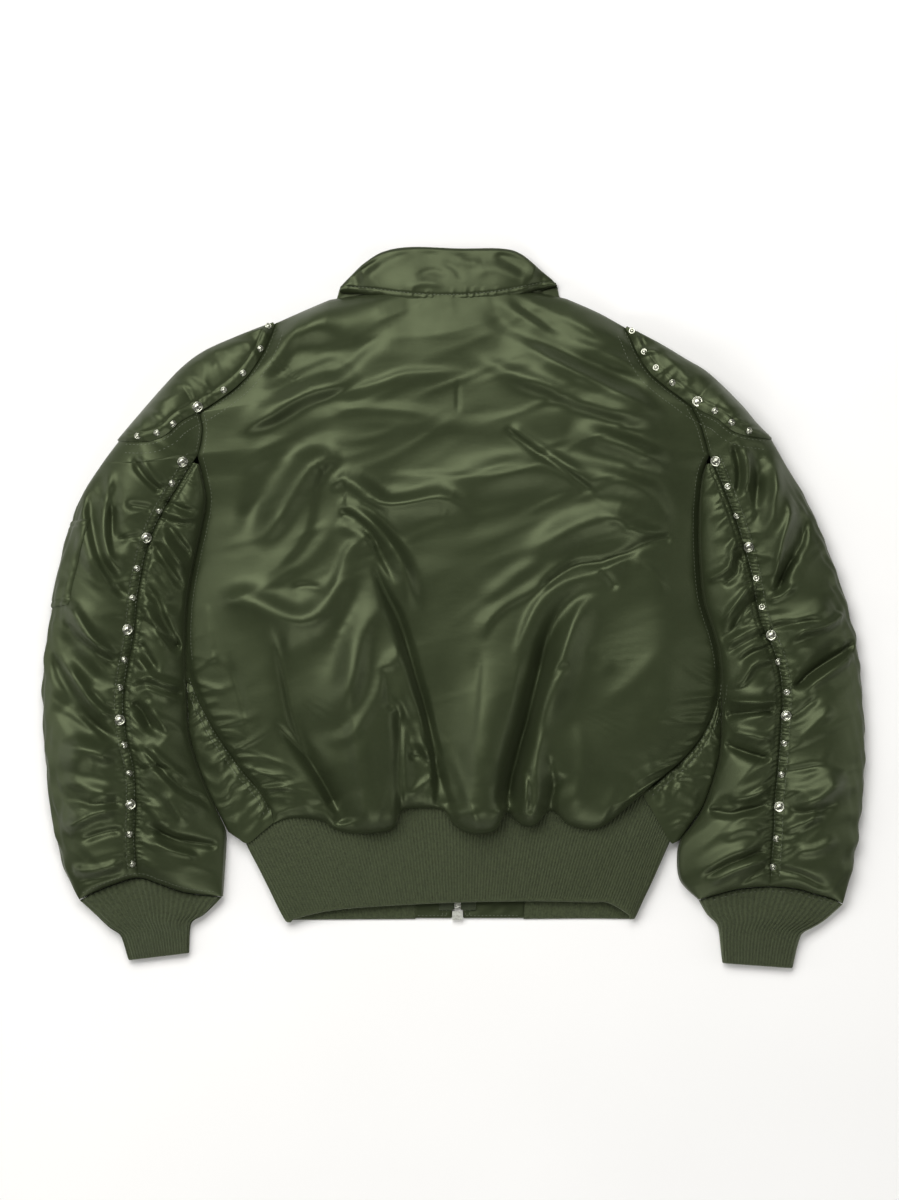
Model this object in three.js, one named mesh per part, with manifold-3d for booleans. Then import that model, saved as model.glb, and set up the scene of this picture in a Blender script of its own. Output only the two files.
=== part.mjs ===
// Flight-satin bomber jacket lying face down on a flat surface, its back upwards, in millimetres.
// +X is to the right of the spread jacket, +Y runs from the hem to the collar and +Z is up. It lies on z = 0.
import * as THREE from "three";
import Module from "manifold-3d";
import { mergeVertices } from "three/addons/utils/BufferGeometryUtils.js";

const wasm = await Module();
wasm.setup();

// Sizes
// Plan points are millimetres on a cutting sheet: x to the right, y down from the sheet's top edge.
const SHEET_CENTRE = { x: 453.5, y: 607.75 };
const SHELL_WALL = 2.5; // satin shell, wadding and lining together
const RIB_WALL = 2.8; // doubled rib knit
const COLLAR_WALL = 2.2;
const SEAM_GAP = 0.3;
const LAYER_GAP = 0.35;
const PLATE_TOP = SHELL_WALL; // the front layer lies flat on the surface
const ROLL = { middle: 11, inset: 9, lip: 5 }; // how an outer fold turns under
const WAIST_HEIGHT = 12;
const CUFF_HEIGHT = 11.5;
const HEM_REST = WAIST_HEIGHT + LAYER_GAP + SHELL_WALL;

const COLOUR = {
  satin: 0x4b5a3b,
  rib: 0x434b33,
  metal: 0xb9bbae,
  tape: 0x39412c,
};

// Small helpers
const lerp = (a, b, t) => a + (b - a) * t;
const clamp01 = (t) => Math.min(1, Math.max(0, t));
const smooth = (t) => clamp01(t) ** 2 * (3 - 2 * clamp01(t));
const roundOff = (t) => Math.sqrt(Math.max(0, 1 - (1 - clamp01(t)) ** 2));
const mix = (p, q, t) => [lerp(p[0], q[0], t), lerp(p[1], q[1], t)];
const range = (n, make) => Array.from({ length: n }, (_, i) => make(i));
const toPart = ([x, y], z) => new THREE.Vector3(x - SHEET_CENTRE.x, SHEET_CENTRE.y - y, z);

// A smooth line through plan points; at(t) runs evenly along it.
function line(points) {
  const spline = new THREE.SplineCurve(points.map(([x, y]) => new THREE.Vector2(x, y)));
  spline.arcLengthDivisions = 400;
  return {
    length: spline.getLength(),
    at: (t) => spline.getPointAt(clamp01(t)).toArray(),
    dense: (n) => spline.getPoints(n).map((p) => p.toArray()),
  };
}

// A value that varies with a first column, as [position, value] rows.
function graded(rows) {
  return (at) => {
    const k = Math.min(rows.length - 2, Math.max(0, rows.findIndex((r) => r[0] >= at) - 1));
    const next = at > rows.at(-1)[0] ? rows.length - 2 : k;
    const [a, b] = [rows[next], rows[next + 1]];
    return lerp(a[1], b[1], smooth((at - a[0]) / (b[0] - a[0])));
  };
}

// Folds: each row is a soft ridge, or a trough where height is negative, along a line of plan points.
// left and right are its widths on either side as it is walked, and it fades over the shares start and end.
const FOLD_COLUMNS = ["height", "left", "right", "start", "end", "points"];
const BACK_FOLDS = [
  [11, 24, 20, 0.75, 0.02, [[520, 600], [492, 660], [480, 740], [478, 836]]],
  [-15, 10, 9, 0.45, 0.1, [[600, 572], [556, 620], [538, 680], [524, 735], [509, 790], [508, 815]]],
  [-11, 26, 6, 0.35, 0.05, [[372, 560], [390, 603], [408, 647], [424, 700], [436, 755], [440, 815]]],
  [-9, 14, 12, 0.3, 0.02, [[398, 690], [410, 730], [420, 770], [422, 812]]],
  [9, 22, 12, 0.6, 0.02, [[356, 640], [352, 690], [362, 760], [374, 836]]],
  [-8, 12, 10, 0.5, 0.05, [[276, 715], [301, 748], [320, 773], [336, 800], [344, 825]]],
  [9, 16, 20, 0.5, 0.4, [[385, 600], [357, 634], [350, 675], [334, 715], [312, 738]]],
  [-6, 18, 18, 0.4, 0.3, [[279, 625], [289, 664], [300, 712], [330, 772]]],
  [8, 14, 20, 0.3, 0.4, [[198, 605], [251, 602], [301, 620], [336, 592], [352, 560]]],
  [8, 14, 9, 0.6, 0.02, [[536, 720], [528, 770], [529, 830]]],
  [-7, 8, 9, 0.4, 0.05, [[560, 770], [552, 800], [549, 815]]],
  [9, 20, 16, 0.4, 0.4, [[590, 590], [568, 625], [552, 680], [526, 745]]],
  [7, 46, 46, 0.5, 0.5, [[640, 590], [655, 660], [640, 735], [600, 790]]],
  [7, 14, 10, 0.3, 0.3, [[236, 436], [268, 418], [310, 392], [366, 386]]],
  [-6, 16, 16, 0.3, 0.3, [[345, 432], [300, 448], [262, 486], [236, 550]]],
  [7, 12, 14, 0.3, 0.3, [[346, 460], [312, 465], [286, 508], [256, 548]]],
  [8, 10, 16, 0.25, 0.3, [[330, 488], [350, 481], [383, 504], [410, 503], [446, 499], [480, 526]]],
  [6, 9, 9, 0.3, 0.3, [[336, 512], [350, 511], [380, 533], [400, 562], [420, 620]]],
  [8, 12, 18, 0.3, 0.3, [[500, 338], [558, 366], [628, 400], [668, 414]]],
  [6, 12, 14, 0.3, 0.3, [[476, 363], [547, 388], [610, 411], [680, 424]]],
  [7, 12, 14, 0.3, 0.3, [[566, 428], [628, 449], [669, 473]]],
  [7, 12, 20, 0.3, 0.3, [[440, 479], [511, 468], [560, 470], [628, 484], [672, 528]]],
  [6, 12, 16, 0.3, 0.3, [[520, 562], [565, 532], [610, 518], [640, 532], [680, 536]]],
  [-7, 16, 16, 0.3, 0.4, [[262, 392], [300, 352], [370, 350]]],
];
const SLEEVE_FOLDS = [
  [-7, 10, 12, 0.3, 0.3, [[108, 470], [112, 520], [124, 560]]],
  [6, 12, 12, 0.3, 0.4, [[88, 500], [98, 545], [122, 580]]],
  [-7, 10, 10, 0.3, 0.3, [[58, 625], [85, 665], [116, 695]]],
  [7, 14, 12, 0.3, 0.3, [[60, 600], [92, 640], [118, 662]]],
  [-7, 12, 12, 0.3, 0.3, [[52, 690], [80, 720], [112, 745]]],
  [6, 14, 14, 0.3, 0.3, [[60, 770], [92, 752], [122, 765]]],
  [6, 12, 12, 0.3, 0.3, [[62, 830], [90, 805], [126, 806]]],
  [-6, 9, 9, 0.3, 0.3, [[152, 560], [166, 590], [186, 612]]],
  [6, 10, 10, 0.3, 0.3, [[130, 690], [150, 684], [186, 700]]],
  [-6, 8, 8, 0.3, 0.3, [[142, 697], [152, 722], [166, 742]]],
  [6, 10, 10, 0.3, 0.3, [[136, 742], [172, 790], [214, 812]]],
  [-6, 9, 9, 0.3, 0.3, [[140, 822], [176, 842], [214, 850]]],
  [-6, 9, 9, 0.3, 0.3, [[750, 430], [757, 470], [752, 510]]],
  [6, 12, 12, 0.3, 0.3, [[768, 450], [782, 500], [776, 560], [768, 596]]],
  [-7, 9, 9, 0.3, 0.3, [[846, 640], [815, 665], [786, 690]]],
  [7, 14, 12, 0.3, 0.3, [[840, 600], [806, 622], [778, 634]]],
  [6, 14, 14, 0.3, 0.3, [[846, 770], [812, 800], [786, 806]]],
  [-6, 9, 9, 0.3, 0.3, [[706, 640], [738, 628], [762, 624]]],
  [6, 10, 10, 0.3, 0.3, [[724, 700], [752, 702], [776, 704]]],
  [-6, 9, 9, 0.3, 0.3, [[724, 742], [748, 752], [772, 758]]],
  [-6, 9, 9, 0.3, 0.3, [[702, 806], [738, 804], [768, 800]]],
  [6, 10, 10, 0.3, 0.3, [[694, 882], [726, 856], [764, 846]]],
];
const folds = (rows) =>
  rows.map((row) => {
    const fold = Object.fromEntries(FOLD_COLUMNS.map((name, k) => [name, row[k]]));
    return { ...fold, path: line(fold.points).dense(14) };
  });
const ALL_FOLDS = folds([...BACK_FOLDS, ...SLEEVE_FOLDS]);

// How much the folds raise the cloth at a plan point.
function foldHeight([x, y]) {
  let sum = 0;
  for (const { height, left, right, start, end, path } of ALL_FOLDS) {
    const last = path.length - 1;
    let best = { far: Infinity, along: 0, side: 1 };
    for (let k = 0; k < last; k++) {
      const [ax, ay] = path[k];
      const [dx, dy] = [path[k + 1][0] - ax, path[k + 1][1] - ay];
      const t = clamp01(((x - ax) * dx + (y - ay) * dy) / (dx * dx + dy * dy));
      const far = Math.hypot(x - ax - t * dx, y - ay - t * dy);
      if (far < best.far) best = { far, along: (k + t) / last, side: dx * (y - ay) - dy * (x - ax) };
    }
    const width = best.side < 0 ? left : right;
    const fade = smooth(best.along / start) * smooth((1 - best.along) / end);
    sum += height * fade * Math.exp(-((best.far / width) ** 2));
  }
  return sum;
}

// Panel outlines on the cutting sheet
const NECKLINE = line([[330, 300], [360, 296], [400, 292], [450, 290], [500, 291], [540, 294], [566, 299]]);
const BACK_SHOULDER_LEFT = line([[330, 300], [302, 312], [275, 324]]);
const BACK_SHOULDER_RIGHT = line([[566, 299], [598, 313], [625, 328]]);
const BACK_HEM = line([
  [274, 822], [292, 817], [320, 819], [335, 828], [352, 832], [374, 832], [394, 827], [402, 810],
  [422, 807], [442, 809], [452, 822], [466, 831], [481, 833], [496, 829], [506, 812], [514, 818],
  [522, 824], [535, 824], [546, 812], [553, 810], [568, 823], [590, 828], [606, 823], [628, 805], [642, 793],
]);
const SADDLE = {
  left: {
    fold: line([[274, 322], [236, 337], [205, 351], [183, 367], [161, 390], [135, 420], [118, 440]]),
    bodyEdge: line([[275, 324], [269, 342], [261, 359], [248, 378], [229, 395], [208, 409], [200, 413]]),
    sleeveEdge: line([[200, 413], [186, 421], [177, 428], [170, 435], [158, 441], [144, 443], [119, 442]]),
  },
  right: {
    fold: line([[626, 326], [660, 344], [685, 359], [709, 374], [740, 404], [756, 423], [771, 438]]),
    bodyEdge: line([[625, 328], [630, 338], [637, 355], [648, 373], [662, 386], [678, 398], [690, 407]]),
    sleeveEdge: line([[690, 407], [702, 414], [716, 421], [728, 431], [740, 436], [754, 438], [771, 440]]),
  },
};
const ARMHOLE = {
  left: line([[200, 413], [203, 428], [202, 441], [199, 455]]),
  right: line([[690, 407], [699, 424], [704, 440], [708, 455]]),
};
// The pleated side edge of the back, from the armhole down to the ruched side seam.
const PLEAT = {
  left: line([
    [199, 455], [204, 475], [208, 500], [203, 530], [196, 560], [189, 600], [187, 640], [190, 672],
  ]),
  right: line([
    [708, 455], [700, 478], [697, 520], [698, 560], [702, 600], [713, 636], [718, 660], [718.5, 680],
  ]),
};
const SIDE_SEAM = {
  left: line([
    [190, 672], [197, 692], [207, 713], [219, 735], [243, 769], [260, 789], [270, 806], [274, 822],
  ]),
  right: line([
    [718.5, 680], [717, 697], [711, 715], [700, 737], [684, 757], [666, 773], [651, 785], [642, 793],
  ]),
};
const SLEEVE = {
  left: {
    outer: line([
      [119, 442], [102, 465], [83, 495], [73, 525], [64, 560], [56, 595], [49, 630], [45, 660],
      [43.5, 700], [45, 745], [50, 795], [57, 838], [68, 875], [80, 899],
    ]),
    knee: 0.055,
    seam: line([
      [199, 455], [182, 482], [162, 516], [149, 547], [140, 590], [135, 635], [127, 679],
      [125, 705], [128, 736], [135, 765], [137, 800], [136, 840], [139, 877],
    ]),
    inner: line([
      [196.8, 455], [201.6, 475], [205.6, 500], [200.6, 530], [193.6, 560], [186.6, 600], [184.6, 640],
      [185, 672], [186, 700], [188, 733], [194, 757], [203, 782], [216.5, 812], [225, 831], [225, 852],
      [222, 896],
    ]),
    cuffEdge: [[80, 899], [98, 890], [116, 883], [139, 877], [162, 884], [187, 892], [222, 896]],
  },
  right: {
    outer: line([
      [771, 440], [785, 465], [803, 495], [817, 525], [829, 555], [840, 585], [849, 615], [856, 645],
      [861, 690], [864, 745], [862, 795], [856, 845], [850, 875], [842, 903],
    ]),
    knee: 0.045,
    seam: line([
      [708, 455], [724, 493], [737, 529], [749, 571], [758, 617], [774, 656], [780.5, 692],
      [779, 728], [776, 770], [773, 799], [772, 828], [770, 860], [769, 886],
    ]),
    inner: line([
      [710.2, 455], [702.4, 478], [699.4, 520], [700.4, 560], [704.4, 600], [715.4, 636], [720.4, 660],
      [722.5, 700], [721.5, 744], [717.5, 768], [705.5, 804], [693.5, 824], [682, 839], [678, 855],
      [681, 880], [699, 899],
    ]),
    cuffEdge: [
      [842, 903], [831, 898], [813, 893], [795, 888], [769, 886], [741, 888], [723, 892], [699, 899],
    ],
  },
};

// Heights in millimetres above the surface
const EDGE_HEIGHT = {
  left: graded([
    [322, 3], [345, 16], [380, 27], [413, 31], [453, 29], [480, 21], [520, 13], [560, 9], [672, 9],
    [735, 13], [822, HEM_REST],
  ]),
  right: graded([
    [326, 3], [350, 16], [380, 27], [407, 31], [453, 28], [480, 20], [520, 12], [560, 9], [680, 9],
    [737, 13], [793, HEM_REST],
  ]),
};
const BACK_CROWN = graded([
  [300, 30], [340, 34], [420, 38], [520, 39], [640, 40], [740, 39], [790, 36], [835, 32],
]);
const SEAM_HEIGHT = graded([[0, 30], [0.1, 28], [0.3, 26], [0.6, 25], [0.85, 24], [1, 20]]);
const ON_PLATE = PLATE_TOP + LAYER_GAP + SHELL_WALL;
const NECK_HEIGHT = graded([
  [275, ON_PLATE], [335, ON_PLATE + 0.5], [395, 16], [500, 16], [560, ON_PLATE + 0.5], [625, ON_PLATE],
]);

// Where an edge point meets the seam it is trimmed back by half the seam's gap.
function trimmed(from, to, amount = SEAM_GAP / 2) {
  const length = Math.hypot(to[0] - from[0], to[1] - from[1]);
  return mix(from, to, Math.min(0.4, amount / Math.max(length, 1e-6)));
}

// Solids

// The inner face of a wall: each point goes in along the surface's normal. On an edge it stays in the
// edge's own upright plane.
function innerFace(outer, thickness, { ring, freeLast, edges }) {
  const rows = outer.length;
  const columns = outer[0].length;
  return outer.map((row, i) =>
    row.map((point, j) => {
      const before = ring ? row[(j + columns - 1) % columns] : row[Math.max(0, j - 1)];
      const after = ring ? row[(j + 1) % columns] : row[Math.min(columns - 1, j + 1)];
      const across = new THREE.Vector3().subVectors(after, before);
      const [above, below] = [outer[Math.max(0, i - 1)][j], outer[Math.min(rows - 1, i + 1)][j]];
      const along = new THREE.Vector3().subVectors(below, above);
      const normal = new THREE.Vector3().crossVectors(across, along).normalize();
      const flatten = (direction) => {
        const level = new THREE.Vector3(direction.x, direction.y, 0);
        if (level.length() < 1e-6) return;
        level.normalize();
        normal.addScaledVector(level, -normal.dot(level)).normalize();
      };
      if (edges && (i === 0 || i === rows - 1)) {
        // Where the row stands upright, at a fold, its whole run gives the plane.
        const level = Math.hypot(across.x, across.y) > 0.2 * across.length();
        const run = level ? across : new THREE.Vector3().subVectors(row[0], row[Math.floor(columns / 2)]);
        flatten(new THREE.Vector3(-run.y, run.x, 0));
      }
      const sideEdge = j === 0 || (j === columns - 1 && !freeLast);
      if (edges && sideEdge) flatten(new THREE.Vector3(-along.y, along.x, 0));
      return point.clone().addScaledVector(normal, -thickness);
    }),
  );
}

// One closed body between an outer and an inner grid of points.
function shell(outer, inner, ring = false) {
  const rows = outer.length;
  const columns = outer[0].length;
  const positions = [...outer.flat(), ...inner.flat()].flatMap((p) => [p.x, p.y, p.z]);
  const index = [];
  const at = (i, j) => i * columns + (j % columns);
  const behind = rows * columns;
  const quad = (a, b, c, d) => index.push(a, b, c, a, c, d);
  const across = ring ? columns : columns - 1;
  for (let i = 0; i < rows - 1; i++) {
    for (let j = 0; j < across; j++) {
      quad(at(i, j), at(i, j + 1), at(i + 1, j + 1), at(i + 1, j));
      quad(behind + at(i, j), behind + at(i + 1, j), behind + at(i + 1, j + 1), behind + at(i, j + 1));
    }
  }
  for (let j = 0; j < across; j++) {
    quad(at(0, j + 1), at(0, j), behind + at(0, j), behind + at(0, j + 1));
    quad(at(rows - 1, j), at(rows - 1, j + 1), behind + at(rows - 1, j + 1), behind + at(rows - 1, j));
  }
  const last = columns - 1;
  for (let i = 0; i < rows - 1 && !ring; i++) {
    quad(at(i, 0), at(i + 1, 0), behind + at(i + 1, 0), behind + at(i, 0));
    quad(at(i + 1, last), at(i, last), behind + at(i, last), behind + at(i + 1, last));
  }
  const geometry = new THREE.BufferGeometry();
  geometry.setAttribute("position", new THREE.Float32BufferAttribute(positions, 3));
  geometry.setIndex(index);
  return geometry;
}

// A wall whose outer grid may run either way round: the winding that faces up is kept.
function wall(grid, thickness, { ring = false, freeLast = false, edges = !ring } = {}) {
  const middle = Math.floor(grid.length / 2);
  const across = new THREE.Vector3().subVectors(grid[middle][2], grid[middle][1]);
  const along = new THREE.Vector3().subVectors(grid[middle + 1][1], grid[middle][1]);
  const faceUp = across.cross(along).z > 0;
  const outer = faceUp ? grid : [...grid].reverse();
  return shell(outer, innerFace(outer, thickness, { ring, freeLast, edges }), ring);
}

function plate(points, bottom, top) {
  const outline = points.map(([x, y]) => new THREE.Vector2(x - SHEET_CENTRE.x, SHEET_CENTRE.y - y));
  const settings = { depth: top - bottom, bevelEnabled: false };
  return new THREE.ExtrudeGeometry(new THREE.Shape(outline), settings).translate(0, 0, bottom);
}

// An outline in the plane of y and z, given width across x.
function bar(outline, fromX, toX) {
  const shape = new THREE.Shape(outline.map(([y, z]) => new THREE.Vector2(SHEET_CENTRE.y - y, z)));
  const geometry = new THREE.ExtrudeGeometry(shape, { depth: toX - fromX, bevelEnabled: false });
  // The outline's own x and y become the part's y and z.
  const [x, y, z] = [new THREE.Vector3(1, 0, 0), new THREE.Vector3(0, 1, 0), new THREE.Vector3(0, 0, 1)];
  const turn = new THREE.Matrix4().makeBasis(y, z, x);
  return geometry.applyMatrix4(turn).translate(fromX - SHEET_CENTRE.x, 0, 0);
}

function solid(geometry) {
  const bare = geometry.clone();
  bare.deleteAttribute("normal");
  bare.deleteAttribute("uv");
  const merged = mergeVertices(bare, 1e-4);
  return new wasm.Manifold(
    new wasm.Mesh({
      numProp: 3,
      vertProperties: merged.attributes.position.array,
      triVerts: new Uint32Array(merged.index.array),
    }),
  );
}

function geometryOf(manifold) {
  const mesh = manifold.getMesh();
  const geometry = new THREE.BufferGeometry();
  geometry.setAttribute("position", new THREE.Float32BufferAttribute(mesh.vertProperties, 3));
  geometry.setIndex(new THREE.BufferAttribute(new Uint32Array(mesh.triVerts), 1));
  return geometry;
}

const jacket = new THREE.Group();
function add(name, geometry, colour, roughness = 0.5, metalness = 0) {
  const material = new THREE.MeshStandardMaterial({ color: colour, roughness, metalness });
  const mesh = new THREE.Mesh(geometry, material);
  mesh.name = name;
  jacket.add(mesh);
  return mesh;
}

// Back panel: rows run from one side edge to the other, from the neck to the hem.
const BACK_ROWS = { saddle: 6, armhole: 3, pleat: 9, seam: 8 };
const BACK_COLUMNS = 27;
const BULGE = { roundness: 3.2, fullness: 0.6 }; // the padded back's section between its side edges
const FOLD_FADE = 9; // folds reach their full depth this share, as 1 / FOLD_FADE, in from a side edge
const RISE = { neck: 70, shoulder: 50, hem: 26 }; // how far from an edge the cloth has its full height
function backEdge(side) {
  const { bodyEdge } = SADDLE[side];
  return [
    ...range(BACK_ROWS.saddle, (i) => bodyEdge.at(i / BACK_ROWS.saddle)),
    ...range(BACK_ROWS.armhole, (i) => ARMHOLE[side].at(i / BACK_ROWS.armhole)),
    ...range(BACK_ROWS.pleat, (i) => PLEAT[side].at(i / BACK_ROWS.pleat)),
    ...range(BACK_ROWS.seam + 1, (i) => SIDE_SEAM[side].at(i / BACK_ROWS.seam)),
  ];
}
const backLeft = backEdge("left");
const backRight = backEdge("right");
// The top edge: shoulder, neckline, shoulder.
const shoulderShare = 0.17;
function backTop(u) {
  if (u < shoulderShare) return BACK_SHOULDER_LEFT.at(1 - u / shoulderShare);
  if (u > 1 - shoulderShare) return BACK_SHOULDER_RIGHT.at((u - 1 + shoulderShare) / shoulderShare);
  return NECKLINE.at((u - shoulderShare) / (1 - 2 * shoulderShare));
}
function backHeight(point, u, v, left, right) {
  const crown = BACK_CROWN(point[1]);
  const edge = lerp(EDGE_HEIGHT.left(left[1]), EDGE_HEIGHT.right(right[1]), u);
  const bulge = (1 - Math.abs(2 * u - 1) ** BULGE.roundness) ** BULGE.fullness;
  const full = edge + (crown - edge) * bulge;
  const folded = full + foldHeight(point) * smooth(Math.min(u, 1 - u) * FOLD_FADE);
  const top = backTop(u);
  const onNeck = u > shoulderShare && u < 1 - shoulderShare;
  const topHeight = NECK_HEIGHT(top[0]);
  const fromTop = Math.hypot(point[0] - top[0], point[1] - top[1]);
  const rise = onNeck ? smooth(fromTop / RISE.neck) : roundOff(fromTop / RISE.shoulder);
  const lifted = lerp(topHeight, folded, rise);
  const hem = BACK_HEM.at(u);
  const fromHem = Math.max(0, hem[1] - point[1]);
  return v > 0.6 ? lerp(HEM_REST, lifted, roundOff(fromHem / RISE.hem)) : lifted;
}
// Rows near the top and the hem bend to follow those edges.
const backRowCount = backLeft.length;
const backGrid = range(backRowCount, (i) => {
  const v = i / (backRowCount - 1);
  const left = trimmed(backLeft[i], backRight[i]);
  const right = trimmed(backRight[i], backLeft[i]);
  return range(BACK_COLUMNS, (j) => {
    const u = j / (BACK_COLUMNS - 1);
    const straight = mix(left, right, u);
    const topShift = backTop(u).map((c, k) => c - mix(backLeft[0], backRight[0], u)[k]);
    const hemShift = BACK_HEM.at(u).map((c, k) => c - mix(backLeft.at(-1), backRight.at(-1), u)[k]);
    const nearTop = (1 - v) ** 3;
    const nearHem = v ** 7;
    const point = straight.map((c, k) => c + topShift[k] * nearTop + hemShift[k] * nearHem);
    return toPart(point, backHeight(point, u, v, backLeft[i], backRight[i]));
  });
});
add("back_panel", wall(backGrid, SHELL_WALL), COLOUR.satin);

// Sleeves: each row is a section from the studded back seam out to the fold, which turns under to a lip.
const SLEEVE_ROWS = { cap: BACK_ROWS.armhole, seam: 27 };
const OUTER_STEPS = [0, 0.14, 0.32, 0.52, 0.72, 0.88, 0.97, 1];
const INNER_STEPS = [0, 0.18, 0.38, 0.58, 0.78, 0.92, 1];
const GATHER = { depth: 2.3, from: 9, to: 58 };
const CUFF_DROP = 30;
const CAP_SHARE = 0.09; // of the sleeve's seam height table, used up along the armhole
const BOW_ROWS = 6; // rows over which a panel eases into a curved end
const SLEEVE_CROWN = { outer: 11, inner: 10, roundness: 5 };
// The outer fold below the widest point, as [inset, height] of the roll and its lip.
const ROLL_UNDER = [
  ...[45, 90].map((degrees) => {
    const turn = THREE.MathUtils.degToRad(degrees);
    return [ROLL.inset * (1 - Math.cos(turn)), ROLL.middle * (1 - Math.sin(turn))];
  }),
  [ROLL.inset + ROLL.lip, 0],
];

// Gathers: ridges and dips in turn along the seam, strongest a little way off it.
function gather(row, distance) {
  const swell = smooth(distance / GATHER.from) * (1 - smooth(distance / GATHER.to));
  return (row % 2 ? 1 : -1) * GATHER.depth * swell;
}

function sectionHeight(start, end, w, crown, roundness) {
  const swell = crown * Math.sin(Math.PI * w ** 0.8);
  return end + (start - end + swell) * Math.sqrt(Math.max(0, 1 - w ** roundness));
}

function sleeveRows(side) {
  const { outer, knee, seam } = SLEEVE[side];
  const capRows = range(SLEEVE_ROWS.cap, (i) => {
    const t = i / SLEEVE_ROWS.cap;
    return { seamPoint: ARMHOLE[side].at(t), fold: outer.at(knee * t), along: CAP_SHARE * t };
  });
  const seamRows = range(SLEEVE_ROWS.seam + 1, (i) => {
    const t = i / SLEEVE_ROWS.seam;
    return { seamPoint: seam.at(t), fold: outer.at(lerp(knee, 1, t)), along: lerp(CAP_SHARE, 1, t) };
  });
  return [...capRows, ...seamRows];
}

// Where the saddle meets the sleeve, both turn under along the seam between them.
const seamwise = (side) => new THREE.Vector3(side === "left" ? 1 : -1, 0, 0);

// How far the cuff's curved edge bows away from straight, w of the way from the seam to the share end.
function cuffBow(side, w, end) {
  const cuffLine = line(SLEEVE[side].cuffEdge);
  const split = SLEEVE[side].cuffSplit;
  const straight = mix(cuffLine.at(split), cuffLine.at(end), w);
  return cuffLine.at(lerp(split, end, w)).map((c, k) => c - straight[k]);
}

// Near the cuff every section falls to the height of the rib.
const towardCuff = (t, length, height) =>
  lerp(CUFF_HEIGHT + 1, height, roundOff(((1 - t) * length) / CUFF_DROP));

function sleeveOuter(side) {
  const { seam } = SLEEVE[side];
  const edge = SADDLE[side].sleeveEdge;
  const rows = sleeveRows(side);
  return rows.map(({ seamPoint, fold, along }, i) => {
    const seamSide = trimmed(seamPoint, fold);
    const width = Math.hypot(fold[0] - seamPoint[0], fold[1] - seamPoint[1]);
    const t = i / (rows.length - 1);
    const upper = OUTER_STEPS.map((w) => {
      const straight = mix(seamSide, fold, w);
      // The first rows follow the saddle's edge, and the last ones the cuff's.
      const saddlePoint = edge.at(w);
      const saddleBow = saddlePoint.map((c, k) => c - mix(edge.at(0), edge.at(1), w)[k]);
      const nearSaddle = Math.max(0, 1 - i / BOW_ROWS) ** 2;
      const bow = cuffBow(side, w, 0);
      const nearCuff = Math.max(0, 1 - (rows.length - 1 - i) / BOW_ROWS) ** 2;
      const gap = [0, i === 0 ? SEAM_GAP : 0];
      const point = straight.map((c, k) => c + saddleBow[k] * nearSaddle + bow[k] * nearCuff + gap[k]);
      const free = Math.sin(Math.PI * Math.min(1, w + 0.02)) ** 0.5;
      const calm = smooth(i / 4) * smooth((rows.length - 1 - i) / 3);
      const raised = gather(i, w * width) * calm + foldHeight(point) * free * calm;
      const seamHeight = i < SLEEVE_ROWS.cap ? EDGE_HEIGHT[side](seamPoint[1]) : SEAM_HEIGHT(along);
      const section = sectionHeight(seamHeight, ROLL.middle, w, SLEEVE_CROWN.outer, SLEEVE_CROWN.roundness);
      const full = section + raised;
      return toPart(point, w === 1 ? ROLL.middle : towardCuff(t, seam.length, full));
    });
    const foldPoint = upper.at(-1);
    const inward = new THREE.Vector3().subVectors(upper[4], foldPoint).setZ(0).normalize();
    inward.lerp(seamwise(side), 1 - smooth(i / 4)).normalize();
    const under = ROLL_UNDER.map(([inset, height]) =>
      foldPoint.clone().addScaledVector(inward, inset).setZ(height));
    return [...upper, ...under];
  });
}

// The sleeve's inner panel meets the back's pleat in a valley, and lower down it lies beside the body.
const INNER_START = 0.022;
const INNER_EDGE_HEIGHT = graded([
  [0, 28], [0.06, 21], [0.16, 13], [0.26, 10], [0.9, 11], [1, CUFF_HEIGHT],
]);
function sleeveInner(side) {
  const { seam, inner } = SLEEVE[side];
  const rows = SLEEVE_ROWS.seam + 1;
  return range(rows, (i) => {
    const t = Math.max(INNER_START, i / (rows - 1));
    const seamPoint = seam.at(t);
    const edgePoint = inner.at(t);
    const width = Math.hypot(edgePoint[0] - seamPoint[0], edgePoint[1] - seamPoint[1]);
    const seamSide = trimmed(seamPoint, edgePoint);
    const edgeSide = trimmed(edgePoint, seamPoint, Math.min(1, width * 0.2));
    const edgeHeight = INNER_EDGE_HEIGHT(t);
    const upper = INNER_STEPS.map((w) => {
      const straight = mix(seamSide, edgeSide, w);
      const bow = cuffBow(side, w, 1);
      const nearCuff = Math.max(0, 1 - (rows - 1 - i) / BOW_ROWS) ** 2;
      const point = straight.map((c, k) => c + bow[k] * nearCuff);
      const free = Math.sin(Math.PI * Math.min(1, w + 0.02)) ** 0.5;
      const calm = smooth(i / 5) * smooth((rows - 1 - i) / 3);
      const raised = gather(i + SLEEVE_ROWS.cap, w * width) * calm + foldHeight(point) * free * calm;
      const crown = SLEEVE_CROWN.inner * smooth(width / 60);
      const seamHeight = SEAM_HEIGHT(lerp(CAP_SHARE, 1, t));
      const full = sectionHeight(seamHeight, edgeHeight, w, crown, SLEEVE_CROWN.roundness) + raised;
      return toPart(point, w === 1 ? Math.min(edgeHeight, full) : towardCuff(t, seam.length, full));
    });
    const foot = upper.at(-1).clone();
    const inward = new THREE.Vector3().subVectors(upper[0], foot).setZ(0).normalize();
    foot.addScaledVector(inward, Math.min(1.5, width * 0.1)).setZ(PLATE_TOP + LAYER_GAP);
    return [...upper, foot];
  });
}

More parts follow.
